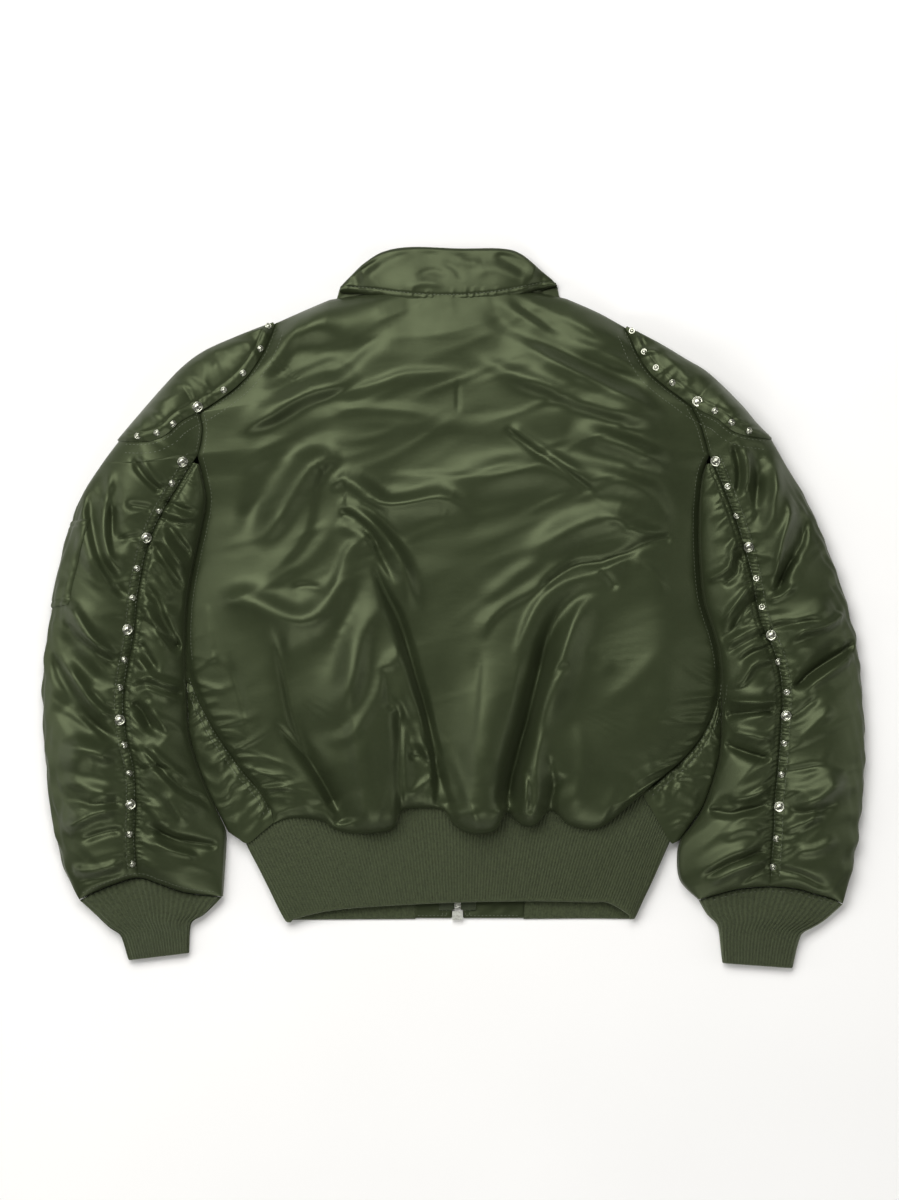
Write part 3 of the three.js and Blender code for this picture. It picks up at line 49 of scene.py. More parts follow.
HEM_REST = 14.85
SIDE_ROLL = 0.6
BACK_ROWS = 305
BACK_COLUMNS = 300
FOLD_SCALE = 1.25  # the worn cloth's folds are a little deeper than the solids'
FINE_SCALE = 1.6
ROLL_START = 0.12
SHOULDER_ROUND = 32
NECK_ROUND = 48
HEM_ROUND = 26
CAP_SHARE = 0.09
INNER_START = 0.022
SIDE_START = 0.11
SADDLE_SPLIT = 0.56
COLLAR_REACH = (0.04, 0.96)
COLLAR_LAYER = 13.5
RIB_PITCH = 2.75
CUFF_RIBS = 50
BAND_STITCH = {"left": 446.5, "right": 469.5}
FLOOR_HALF = 4000
CAMERA = {"lens": 180, "height": 6.0}  # the height is in metres

JACKET = "jacket"
SIDES = ("left", "right")
INWARDS = {"left": 1, "right": -1}


# Small helpers
def lerp(a, b, t):
    return a + (b - a) * t


def smooth(t):
    t = np.clip(t, 0, 1)
    return t * t * (3 - 2 * t)


def round_off(t):
    return np.sqrt(np.maximum(0, 1 - (1 - np.clip(t, 0, 1)) ** 2))


def mix(p, q, t):
    return p + (q - p) * np.asarray(t)[..., None]


class Line:
    """A smooth line through plan points. at() takes shares of its length."""

    def __init__(self, points):
        p = np.array(points, float)
        q = np.vstack([p[:1], p, p[-1:]])
        t = np.linspace(0, 1, 40, endpoint=False)[:, None]
        parts = [self.segment(*q[k : k + 4], t) for k in range(len(p) - 1)]
        self.dense = np.vstack(parts + [p[-1:]])
        steps = np.hypot(*np.diff(self.dense, axis=0).T)
        self.run = np.concatenate([[0], np.cumsum(steps)])
        self.length = self.run[-1]

    @staticmethod
    def segment(p0, p1, p2, p3, t):
        bend = 2 * p0 - 5 * p1 + 4 * p2 - p3
        return 0.5 * (2 * p1 + (p2 - p0) * t + bend * t**2 + (3 * p1 - p0 - 3 * p2 + p3) * t**3)

    def at(self, share):
        run = np.clip(share, 0, 1) * self.length
        return np.stack([np.interp(run, self.run, self.dense[:, k]) for k in (0, 1)], -1)


class Graded:
    """A value that varies with a first column, as [position, value] rows."""

    def __init__(self, rows):
        self.rows = np.array(rows, float)

    def __call__(self, at):
        at = np.asarray(at, float)
        x, y = self.rows.T
        k = np.clip(np.searchsorted(x, at) - 1, 0, len(x) - 2)
        return lerp(y[k], y[k + 1], smooth((at - x[k]) / (x[k + 1] - x[k])))


# Relief of the cloth
class Fold:
    """A soft ridge, or a trough where its height is negative, along a line of plan points."""

    def __init__(self, height, left, right, start, end, points):
        self.height, self.left, self.right = height, left, right
        self.start, self.end = start, end
        line = Line(points)
        self.path = line.at(np.linspace(0, 1, max(8, int(line.length / 9))))

    def add_to(self, xy, z):
        reach = 2.4 * max(self.left, self.right)
        low, high = self.path.min(0) - reach, self.path.max(0) + reach
        near = np.all((xy > low) & (xy < high), -1)
        if not near.any():
            return
        p = xy[near]
        far = np.full(len(p), np.inf)
        along = np.zeros(len(p))
        side = np.ones(len(p))
        last = len(self.path) - 1
        for k in range(last):
            a = self.path[k]
            d = self.path[k + 1] - a
            q = p - a
            t = np.clip(q @ d / (d @ d), 0, 1)
            gap = np.hypot(*(q - t[:, None] * d).T)
            best = gap < far
            far = np.where(best, gap, far)
            along = np.where(best, (k + t) / last, along)
            side = np.where(best, d[0] * q[:, 1] - d[1] * q[:, 0], side)
        width = np.where(side < 0, self.left, self.right)
        fade = smooth(along / self.start) * smooth((1 - along) / self.end)
        z[near] += self.height * fade * np.exp(-((far / width) ** 2))


# Seams, edges and folds on the cutting sheet
ON_PLATE = 5.35
FRONT_EDGE = {"left": 452, "right": 463}
NECKLINE = Line([[330, 300], [360, 296], [400, 292], [450, 290], [500, 291], [540, 294], [566, 299]])
BACK_SHOULDER_LEFT = Line([[330, 300], [302, 312], [275, 324]])
BACK_SHOULDER_RIGHT = Line([[566, 299], [598, 313], [625, 328]])
BACK_HEM = Line([
    [274, 822], [292, 817], [320, 819], [335, 828], [352, 832], [374, 832], [394, 827], [402, 810],
    [422, 807], [442, 809], [452, 822], [466, 831], [481, 833], [496, 829], [506, 812], [514, 818],
    [522, 824], [535, 824], [546, 812], [553, 810], [568, 823], [590, 828], [606, 823], [628, 805],
    [642, 793],
])
SADDLE = {
    "left": {
        "fold": Line([[274, 322], [236, 337], [205, 351], [183, 367], [161, 390], [135, 420], [118, 440]]),
        "body_edge": Line([
            [275, 324], [269, 342], [261, 359], [248, 378], [229, 395], [208, 409], [200, 413],
        ]),
        "sleeve_edge": Line([
            [200, 413], [186, 421], [177, 428], [170, 435], [158, 441], [144, 443], [119, 442],
        ]),
    },
    "right": {
        "fold": Line([[626, 326], [660, 344], [685, 359], [709, 374], [740, 404], [756, 423], [771, 438]]),
        "body_edge": Line([
            [625, 328], [630, 338], [637, 355], [648, 373], [662, 386], [678, 398], [690, 407],
        ]),
        "sleeve_edge": Line([
            [690, 407], [702, 414], [716, 421], [728, 431], [740, 436], [754, 438], [771, 440],
        ]),
    },
}
ARMHOLE = {
    "left": Line([[200, 413], [203, 428], [202, 441], [199, 455]]),
    "right": Line([[690, 407], [699, 424], [704, 440], [708, 455]]),
}
PLEAT = {
    "left": Line([
        [199, 455], [204, 475], [208, 500], [203, 530], [196, 560], [189, 600], [187, 640], [190, 672],
    ]),
    "right": Line([
        [708, 455], [700, 478], [697, 520], [698, 560], [702, 600], [713, 636], [718, 660],
        [718.5, 680],
    ]),
}
SIDE_SEAM = {
    "left": Line([
        [190, 672], [197, 692], [207, 713], [219, 735], [243, 769], [260, 789], [270, 806], [274, 822],
    ]),
    "right": Line([
        [718.5, 680], [717, 697], [711, 715], [700, 737], [684, 757], [666, 773], [651, 785],
        [642, 793],
    ]),
}
SLEEVE = {
    "left": {
        "outer": Line([
            [119, 442], [102, 465], [83, 495], [73, 525], [64, 560], [56, 595], [49, 630], [45, 660],
            [43.5, 700], [45, 745], [50, 795], [57, 838], [68, 875], [80, 899],
        ]),
        "knee": 0.055,
        "seam": Line([
            [199, 455], [182, 482], [162, 516], [149, 547], [140, 590], [135, 635], [127, 679],
            [125, 705], [128, 736], [135, 765], [137, 800], [136, 840], [139, 877],
        ]),
        "inner": Line([
            [196.8, 455], [201.6, 475], [205.6, 500], [200.6, 530], [193.6, 560], [186.6, 600],
            [184.6, 640], [185, 672], [186, 700], [188, 733], [194, 757], [203, 782], [216.5, 812],
            [225, 831], [225, 852], [222, 896],
        ]),
        "cuff_edge": [[80, 899], [98, 890], [116, 883], [139, 877], [162, 884], [187, 892], [222, 896]],
    },
    "right": {
        "outer": Line([
            [771, 440], [785, 465], [803, 495], [817, 525], [829, 555], [840, 585], [849, 615],
            [856, 645], [861, 690], [864, 745], [862, 795], [856, 845], [850, 875], [842, 903],
        ]),
        "knee": 0.045,
        "seam": Line([
            [708, 455], [724, 493], [737, 529], [749, 571], [758, 617], [774, 656], [780.5, 692],
            [779, 728], [776, 770], [773, 799], [772, 828], [770, 860], [769, 886],
        ]),
        "inner": Line([
            [710.2, 455], [702.4, 478], [699.4, 520], [700.4, 560], [704.4, 600], [715.4, 636],
            [720.4, 660], [722.5, 700], [721.5, 744], [717.5, 768], [705.5, 804], [693.5, 824],
            [682, 839], [678, 855], [681, 880], [699, 899],
        ]),
        "cuff_edge": [
            [842, 903], [831, 898], [813, 893], [795, 888], [769, 886], [741, 888], [723, 892],
            [699, 899],
        ],
    },
}
EDGE_HEIGHT = {
    "left": Graded([
        [322, 3], [345, 16], [380, 27], [413, 31], [453, 29], [480, 21], [520, 13], [560, 9], [672, 9],
        [735, 13], [822, HEM_REST],
    ]),
    "right": Graded([
        [326, 3], [350, 16], [380, 27], [407, 31], [453, 28], [480, 20], [520, 12], [560, 9], [680, 9],
        [737, 13], [793, HEM_REST],
    ]),
}
BACK_CROWN = Graded([
    [300, 30], [340, 34], [420, 38], [520, 39], [640, 40], [740, 39], [790, 36], [835, 32],
])
SEAM_HEIGHT = Graded([[0, 30], [0.1, 28], [0.3, 26], [0.6, 25], [0.85, 24], [1, 20]])
NECK_HEIGHT = Graded([
    [275, ON_PLATE], [335, ON_PLATE + 0.5], [395, 16], [500, 16], [560, ON_PLATE + 0.5],
    [625, ON_PLATE],
])
SIDE_FOLD = {
    "left": Line([
        [188.4, 690], [189.4, 712], [190.6, 733], [196.6, 757], [205.6, 782], [218.6, 811], [228, 831],
    ]),
    "right": Line([
        [719.4, 697], [719.6, 712], [719, 744], [715, 768], [703, 803], [691, 823], [679.5, 840],
    ]),
}
SIDE_HEM = {
    "left": Line([[273, 823], [262, 832], [248, 843], [238, 838], [228, 831]]),
    "right": Line([[643, 794], [653, 812], [669.5, 841], [675, 842], [679.5, 840]]),
}
INNER_EDGE_HEIGHT = Graded([
    [0, 28], [0.06, 21], [0.16, 13], [0.26, 10], [0.9, 11], [1, CUFF_HEIGHT],
])
BAND_FRONT_TOP = {
    "left": Line([[247, 844], [262, 840], [300, 836], [380, 833], [FRONT_EDGE["left"], 832]]),
    "right": Line([[668, 844], [655, 839], [612, 835], [540, 833], [FRONT_EDGE["right"], 832]]),
}
FRONT_NECK = {
    "left": Line([[334, 304], [352, 317], [392, 334], [FRONT_EDGE["left"], 342]]),
    "right": Line([[563, 304], [548, 317], [512, 334], [FRONT_EDGE["right"], 342]]),
}
BAND_END = {"left": 415.5, "right": 523.5}
BAND_BACK_TOP = Line([
    [253, 838], [268, 825.5], [300, 819], [380, 815], [460, 812], [560, 810], [620, 806], [644, 803],
    [661, 836],
])
BAND_BACK_HEM = Line([
    [290, 919], [327, 910], [373, 905.5], [452, 901.5], [526, 900], [587, 901], [609, 902], [632, 916],
])
BAND_FRONT_HEM = {
    "left": Line([[292, 919], [340, 918.5], [BAND_END["left"], 918]]),
    "right": Line([[630, 918], [587, 917.5], [BAND_END["right"], 918]]),
}
BAND_FOLD = {
    "left": [[247, 844], [286, 921]],
    "right": [[668, 844], [635, 918]],
}
BAND_SHARE = {"left": 0.8, "right": 0.68}
CUFF = {
    "left": {
        "outer": Line([[80, 900], [96, 914], [110, 927], [120, 934], [124, 942], [129, 959]]),
        "inner": Line([[222, 897], [213, 906], [203, 915], [193, 921], [190, 930], [189, 952]]),
    },
    "right": {
        "outer": Line([[842, 904], [824, 920], [813, 927], [802, 933], [797, 945], [792, 967]]),
        "inner": Line([[699, 900], [707, 914], [716, 923], [719, 932], [721, 950], [722.5, 962]]),
    },
}
COLLAR_TOP = Line([
    [333, 295], [349, 278], [364, 264], [384, 252], [412, 247.5], [460, 249], [500, 249], [520, 254],
    [540, 270], [554, 282], [563, 294],
])
COLLAR_EDGE = Line([
    [340, 292.5], [368, 295], [416, 301], [460, 302], [500, 298], [540, 290], [556, 286],
])
COLLAR_HEIGHT = Graded([
    [0, 7.4], [0.07, 8], [0.17, 18.5], [0.3, 22], [0.7, 22], [0.83, 18.5], [0.93, 8], [1, 7.4],
])
COLLAR_FOLD = 5.6
COLLAR_WALL = 2.2
FRONT_ARMHOLE = {
    "left": Line([[196, 383], [207, 404], [211, 430], [201, 456]]),
    "right": Line([[694, 383], [683, 402], [687, 430], [706, 456]]),
}
STUDS = {
    "large": {
        "left": [[199, 408], [184, 462.5], [148, 538], [129, 629.5], [121.3, 719.5], [132, 803.5]],
        "right": [[696, 402.7], [714.5, 462], [747.5, 547.3], [770, 635], [784.8, 715.3], [778, 806]],
    },
    "small": {
        "left": [
            [268.6, 326.5], [261, 349.4], [244, 374], [225, 391], [175, 425], [159, 434], [139.4, 437],
        ],
        "right": [
            [631.7, 331.3], [643.4, 352.7], [655, 368.8], [671.3, 383.6], [713, 412], [729.6, 423.6],
            [747, 431.8],
        ],
    },
}
BACK_FOLDS = [
    Fold(11, 24, 20, 0.75, 0.02, [(520, 600), (492, 660), (480, 740), (478, 836)]),
    Fold(-15, 10, 9, 0.45, 0.1, [(600, 572), (556, 620), (538, 680), (524, 735), (509, 790), (508, 815)]),
    Fold(-11, 26, 6, 0.35, 0.05, [(372, 560), (390, 603), (408, 647), (424, 700), (436, 755), (440, 815)]),
    Fold(-9, 14, 12, 0.3, 0.02, [(398, 690), (410, 730), (420, 770), (422, 812)]),
    Fold(9, 22, 12, 0.6, 0.02, [(356, 640), (352, 690), (362, 760), (374, 836)]),
    Fold(-8, 12, 10, 0.5, 0.05, [(276, 715), (301, 748), (320, 773), (336, 800), (344, 825)]),
    Fold(9, 16, 20, 0.5, 0.4, [(385, 600), (357, 634), (350, 675), (334, 715), (312, 738)]),
    Fold(-6, 18, 18, 0.4, 0.3, [(279, 625), (289, 664), (300, 712), (330, 772)]),
    Fold(8, 14, 20, 0.3, 0.4, [(198, 605), (251, 602), (301, 620), (336, 592), (352, 560)]),
    Fold(8, 14, 9, 0.6, 0.02, [(536, 720), (528, 770), (529, 830)]),
    Fold(-7, 8, 9, 0.4, 0.05, [(560, 770), (552, 800), (549, 815)]),
    Fold(9, 20, 16, 0.4, 0.4, [(590, 590), (568, 625), (552, 680), (526, 745)]),
    Fold(7, 46, 46, 0.5, 0.5, [(640, 590), (655, 660), (640, 735), (600, 790)]),
    Fold(7, 14, 10, 0.3, 0.3, [(236, 436), (268, 418), (310, 392), (366, 386)]),
    Fold(-6, 16, 16, 0.3, 0.3, [(345, 432), (300, 448), (262, 486), (236, 550)]),
    Fold(7, 12, 14, 0.3, 0.3, [(346, 460), (312, 465), (286, 508), (256, 548)]),
    Fold(8, 10, 16, 0.25, 0.3, [(330, 488), (350, 481), (383, 504), (410, 503), (446, 499), (480, 526)]),
    Fold(6, 9, 9, 0.3, 0.3, [(336, 512), (350, 511), (380, 533), (400, 562), (420, 620)]),
    Fold(8, 12, 18, 0.3, 0.3, [(500, 338), (558, 366), (628, 400), (668, 414)]),
    Fold(6, 12, 14, 0.3, 0.3, [(476, 363), (547, 388), (610, 411), (680, 424)]),
    Fold(7, 12, 14, 0.3, 0.3, [(566, 428), (628, 449), (669, 473)]),
    Fold(7, 12, 20, 0.3, 0.3, [(440, 479), (511, 468), (560, 470), (628, 484), (672, 528)]),
    Fold(6, 12, 16, 0.3, 0.3, [(520, 562), (565, 532), (610, 518), (640, 532), (680, 536)]),
    Fold(-7, 16, 16, 0.3, 0.4, [(262, 392), (300, 352), (370, 350)]),
]
SLEEVE_FOLDS = [
    Fold(-7, 10, 12, 0.3, 0.3, [(108, 470), (112, 520), (124, 560)]),
    Fold(6, 12, 12, 0.3, 0.4, [(88, 500), (98, 545), (122, 580)]),
    Fold(-7, 10, 10, 0.3, 0.3, [(58, 625), (85, 665), (116, 695)]),
    Fold(7, 14, 12, 0.3, 0.3, [(60, 600), (92, 640), (118, 662)]),
    Fold(-7, 12, 12, 0.3, 0.3, [(52, 690), (80, 720), (112, 745)]),
    Fold(6, 14, 14, 0.3, 0.3, [(60, 770), (92, 752), (122, 765)]),
    Fold(6, 12, 12, 0.3, 0.3, [(62, 830), (90, 805), (126, 806)]),
    Fold(-6, 9, 9, 0.3, 0.3, [(152, 560), (166, 590), (186, 612)]),
    Fold(6, 10, 10, 0.3, 0.3, [(130, 690), (150, 684), (186, 700)]),
    Fold(-6, 8, 8, 0.3, 0.3, [(142, 697), (152, 722), (166, 742)]),
    Fold(6, 10, 10, 0.3, 0.3, [(136, 742), (172, 790), (214, 812)]),
    Fold(-6, 9, 9, 0.3, 0.3, [(140, 822), (176, 842), (214, 850)]),
    Fold(-6, 9, 9, 0.3, 0.3, [(750, 430), (757, 470), (752, 510)]),
    Fold(6, 12, 12, 0.3, 0.3, [(768, 450), (782, 500), (776, 560), (768, 596)]),
    Fold(-7, 9, 9, 0.3, 0.3, [(846, 640), (815, 665), (786, 690)]),
    Fold(7, 14, 12, 0.3, 0.3, [(840, 600), (806, 622), (778, 634)]),
    Fold(6, 14, 14, 0.3, 0.3, [(846, 770), (812, 800), (786, 806)]),
    Fold(-6, 9, 9, 0.3, 0.3, [(706, 640), (738, 628), (762, 624)]),
    Fold(6, 10, 10, 0.3, 0.3, [(724, 700), (752, 702), (776, 704)]),
    Fold(-6, 9, 9, 0.3, 0.3, [(724, 742), (748, 752), (772, 758)]),
    Fold(-6, 9, 9, 0.3, 0.3, [(702, 806), (738, 804), (768, 800)]),
    Fold(6, 10, 10, 0.3, 0.3, [(694, 882), (726, 856), (764, 846)]),
]
SLEEVE_STUDS = {
    "left": [
        (173.3, 483.7), (160.3, 510.8), (138.5, 568.6), (134, 598), (125.8, 659.6), (121.4, 687),
        (125.5, 744.4), (130.7, 772.5), (130.7, 833), (133.3, 863),
    ],
    "right": [
        (726.4, 487), (735.5, 516), (755, 578.4), (760.7, 607), (777, 661.4), (785.4, 691.6),
        (783, 742.7), (780, 773.7), (775, 837.8), (772, 866),
    ],
}
# Finer creases than the solids hold: height, width to its left and right, fades, points
FINE_FOLDS = [
    # from the collar over the shoulder blades
    Fold(6.6, 40, 9, 0.2, 0.25, [
        (415, 299), (380, 303), (345, 309), (310, 318), (280, 330), (258, 350), (244, 378),
    ]),
    Fold(-2.6, 9, 18, 0.3, 0.2, [(415, 315), (370, 341), (343, 366), (317, 372), (262, 398)]),
    Fold(0.9, 6, 9, 0.2, 0.2, [
        (256, 399), (281, 388), (305, 375), (324, 366), (335, 365), (346, 370), (362, 384),
    ]),
    Fold(0.7, 9, 6, 0.2, 0.2, [
        (226, 436), (244, 430), (264, 419), (290, 405), (312, 394), (331, 387), (346, 384), (368, 385),
    ]),
    Fold(-1.1, 5, 9, 0.2, 0.2, [(244, 437), (272, 426), (302, 413), (324, 403), (344, 394), (366, 387)]),
    Fold(1.7, 10, 5, 0.3, 0.2, [(474, 374), (440, 374), (404, 376), (381, 384), (350, 394), (326, 409)]),
    Fold(1.2, 6, 6, 0.2, 0.3, [(326, 410), (360, 410), (400, 411), (446, 418)]),
    Fold(1.6, 9, 5, 0.2, 0.3, [(516, 294), (545, 309), (568, 320), (592, 334), (612, 347)]),
    Fold(1.3, 7, 6, 0.2, 0.3, [(492, 298), (520, 316), (549, 334)]),
    Fold(-1.4, 5, 5, 0.2, 0.3, [(510, 300), (540, 321), (566, 338)]),
    Fold(-2.2, 8, 11, 0.15, 0.2, [(486, 298), (501, 322), (526, 340), (560, 354), (600, 368), (652, 390)]),
    Fold(1.5, 6, 12, 0.3, 0.1, [(556, 338), (590, 350), (622, 362), (660, 377)]),
    Fold(2.0, 8, 7, 0.25, 0.2, [
        (494, 332), (525, 345), (551, 361), (576, 375), (602, 388), (632, 401), (668, 418),
    ]),
    Fold(1.8, 7, 8, 0.25, 0.2, [
        (462, 350), (490, 365), (520, 378), (546, 388), (566, 400), (602, 411), (648, 421),
    ]),
    Fold(-1.5, 8, 8, 0.3, 0.3, [(496, 383), (545, 399), (590, 415), (630, 430), (662, 449)]),
    Fold(-0.7, 2.5, 2.5, 0.3, 0.3, [(458, 379), (458, 416)]),
    # the fan of folds below the left shoulder blade
    Fold(1.5, 16, 14, 0.3, 0.2, [(338, 426), (298, 446), (266, 472), (242, 508), (222, 548)]),
    Fold(2.2, 7, 13, 0.15, 0.3, [(345, 457), (322, 465), (312, 492), (306, 528), (288, 556), (252, 584)]),
    Fold(1.4, 6, 10, 0.3, 0.3, [(300, 560), (276, 580), (248, 592), (226, 604)]),
    Fold(1.2, 8, 8, 0.3, 0.3, [(334, 520), (322, 545), (300, 566), (272, 580)]),
    Fold(-1.3, 3, 4, 0.3, 0.3, [(290, 588), (310, 586), (328, 591)]),
    Fold(2.0, 12, 7, 0.2, 0.2, [
        (214, 600), (250, 602), (272, 612), (292, 619), (308, 621), (322, 614), (332, 598),
    ]),
    # the twisted ridge down the middle
    Fold(1.9, 5, 5, 0.1, 0.3, [
        (331, 494), (335, 484), (346, 480), (359, 491), (372, 502), (400, 504), (440, 498), (464, 507),
    ]),
    Fold(-1.6, 7, 7, 0.2, 0.3, [(347, 486), (360, 497), (376, 513), (394, 534), (414, 554)]),
    Fold(2.5, 7, 4.5, 0.1, 0.3, [
        (337, 509), (350, 509), (363, 517), (378, 528), (392, 546), (404, 566), (414, 592),
    ]),
    Fold(-2.8, 4, 4.5, 0.1, 0.2, [(338, 513), (352, 516), (366, 527), (376, 542), (386, 562), (399, 586)]),
    Fold(1.6, 4, 6, 0.2, 0.2, [(337, 521), (352, 531), (368, 537), (375, 546), (366, 554)]),
    Fold(2.2, 12, 6, 0.1, 0.3, [(373, 541), (360, 542), (349, 552), (343, 570), (334, 592), (320, 612)]),
    Fold(-1.4, 10, 10, 0.3, 0.3, [(370, 560), (360, 588), (346, 620), (338, 652), (334, 694)]),
    Fold(-2.6, 3.5, 4, 0.1, 0.2, [
        (373, 562), (385, 590), (400, 620), (409, 652), (416, 678), (425, 706), (436, 752),
    ]),
    Fold(1.8, 14, 4, 0.1, 0.2, [
        (378, 558), (392, 586), (407, 614), (417, 642), (425, 672), (434, 704), (442, 742), (452, 786),
    ]),
    # the left lobe and the tucked cloth beside it
    Fold(1.9, 8, 13, 0.2, 0.3, [(388, 602), (369, 622), (360, 650), (355, 680), (345, 712)]),
    Fold(1.9, 7, 8, 0.1, 0.2, [
        (408, 652), (396, 657), (388, 668), (380, 690), (368, 712), (352, 732), (336, 739), (318, 735),
    ]),
    Fold(-2.4, 6, 5, 0.2, 0.2, [(386, 664), (388, 686), (392, 712)]),
    Fold(1.6, 4, 5, 0.2, 0.2, [(398, 690), (402, 702), (412, 722), (424, 744), (436, 760)]),
    Fold(-2.4, 7, 5, 0.2, 0.1, [(274, 618), (280, 650), (287, 682), (296, 722), (314, 764), (338, 812)]),
    Fold(-1.7, 3.5, 4, 0.2, 0.1, [(274, 718), (292, 740), (311, 763), (326, 786), (340, 815)]),
    Fold(-1.3, 5, 4, 0.3, 0.3, [(228, 650), (235, 675), (243, 702), (251, 738)]),
    Fold(-3.0, 3.5, 6, 0.2, 0.05, [(399, 696), (400, 730), (400, 775), (402, 816)]),
    Fold(1.8, 5, 5, 0.2, 0.2, [(409, 738), (420, 744), (432, 760), (438, 778)]),
    Fold(1.4, 4, 5, 0.2, 0.2, [(410, 797), (420, 786), (437, 773)]),
    Fold(-1.2, 3.5, 4, 0.2, 0.2, [(408, 757), (420, 755), (431, 765)]),
    Fold(-2.8, 5, 5, 0.2, 0.05, [(430, 752), (440, 776), (447, 800), (454, 822)]),
    Fold(-1.0, 4, 5, 0.3, 0.3, [(290, 800), (318, 804), (346, 795)]),
    # the middle lobe
    Fold(2.2, 6, 22, 0.3, 0.2, [(524, 636), (516, 670), (510, 702), (500, 742), (490, 786)]),
    Fold(-1.0, 4, 8, 0.3, 0.3, [(480, 640), (477, 680), (473, 722), (468, 752)]),
    # bands across the middle and the fan on the right
    Fold(1.2, 4, 14, 0.2, 0.3, [
        (384, 480), (400, 477), (440, 477), (470, 478), (502, 476), (540, 467), (562, 461),
    ]),
    Fold(-1.9, 3, 4, 0.1, 0.3, [
        (503, 428), (521, 441), (541, 456), (561, 469), (581, 484), (598, 499), (610, 512),
    ]),
    Fold(1.6, 6, 3.5, 0.1, 0.3, [(509, 427), (536, 446), (561, 463), (582, 478), (600, 488)]),
    Fold(1.6, 10, 8, 0.3, 0.2, [(578, 432), (610, 442), (640, 454), (660, 463), (669, 482)]),
    Fold(1.6, 8, 10, 0.3, 0.2, [(582, 479), (620, 482), (650, 489), (664, 510), (669, 534)]),
    Fold(1.4, 6, 5, 0.2, 0.2, [(598, 517), (616, 520), (631, 531), (655, 533), (671, 534)]),
    Fold(-1.9, 4, 5, 0.3, 0.1, [(620, 557), (640, 545), (656, 540), (672, 538)]),
    Fold(-2.8, 5, 3.5, 0.15, 0.2, [
        (538, 592), (550, 581), (565, 570), (582, 564), (602, 562), (622, 555), (640, 548),
    ]),
    Fold(1.5, 9, 8, 0.3, 0.3, [(474, 602), (500, 588), (522, 571), (548, 558)]),
    Fold(1.8, 9, 5, 0.2, 0.2, [(480, 644), (487, 622), (506, 604), (530, 591), (548, 578), (576, 558)]),
    Fold(2.7, 5, 13, 0.2, 0.2, [
        (514, 664), (524, 634), (534, 610), (546, 594), (562, 583), (585, 576), (602, 572), (618, 562),
        (640, 560),
    ]),
    Fold(1.2, 5, 6, 0.2, 0.3, [(628, 561), (644, 566), (656, 578), (668, 594)]),
    Fold(-1.6, 4, 4, 0.2, 0.2, [(598, 569), (608, 578), (616, 590)]),
    Fold(-3.2, 7, 8, 0.2, 0.05, [
        (548, 632), (540, 662), (533, 690), (527, 716), (518, 744), (510, 775), (504, 812),
    ]),
    Fold(2.6, 17, 4.5, 0.2, 0.15, [
        (604, 594), (580, 606), (569, 634), (560, 660), (550, 681), (542, 702), (532, 727), (519, 760),
    ]),
    Fold(1.0, 9, 9, 0.3, 0.3, [(664, 646), (642, 670), (620, 690), (596, 704)]),
    Fold(0.9, 7, 7, 0.3, 0.3, [(582, 648), (600, 656), (612, 674)]),
    Fold(-1.3, 4, 4, 0.2, 0.3, [(551, 678), (558, 669), (570, 665)]),
    Fold(1.6, 4, 5, 0.2, 0.1, [(513, 768), (523, 776), (526, 796), (521, 817)]),
    Fold(-2.0, 4, 4, 0.2, 0.1, [(525, 764), (531, 788), (529, 814)]),
    Fold(1.6, 6, 5, 0.3, 0.1, [(541, 722), (537, 760), (539, 790), (536, 814)]),
    Fold(-2.2, 4, 5, 0.2, 0.1, [(548, 752), (553, 784), (549, 804), (545, 818)]),
    Fold(1.3, 7, 7, 0.3, 0.2, [(572, 714), (581, 750), (578, 786), (566, 812)]),
    Fold(1.6, 5, 9, 0.1, 0.1, [(205, 604), (214, 664)]),
]
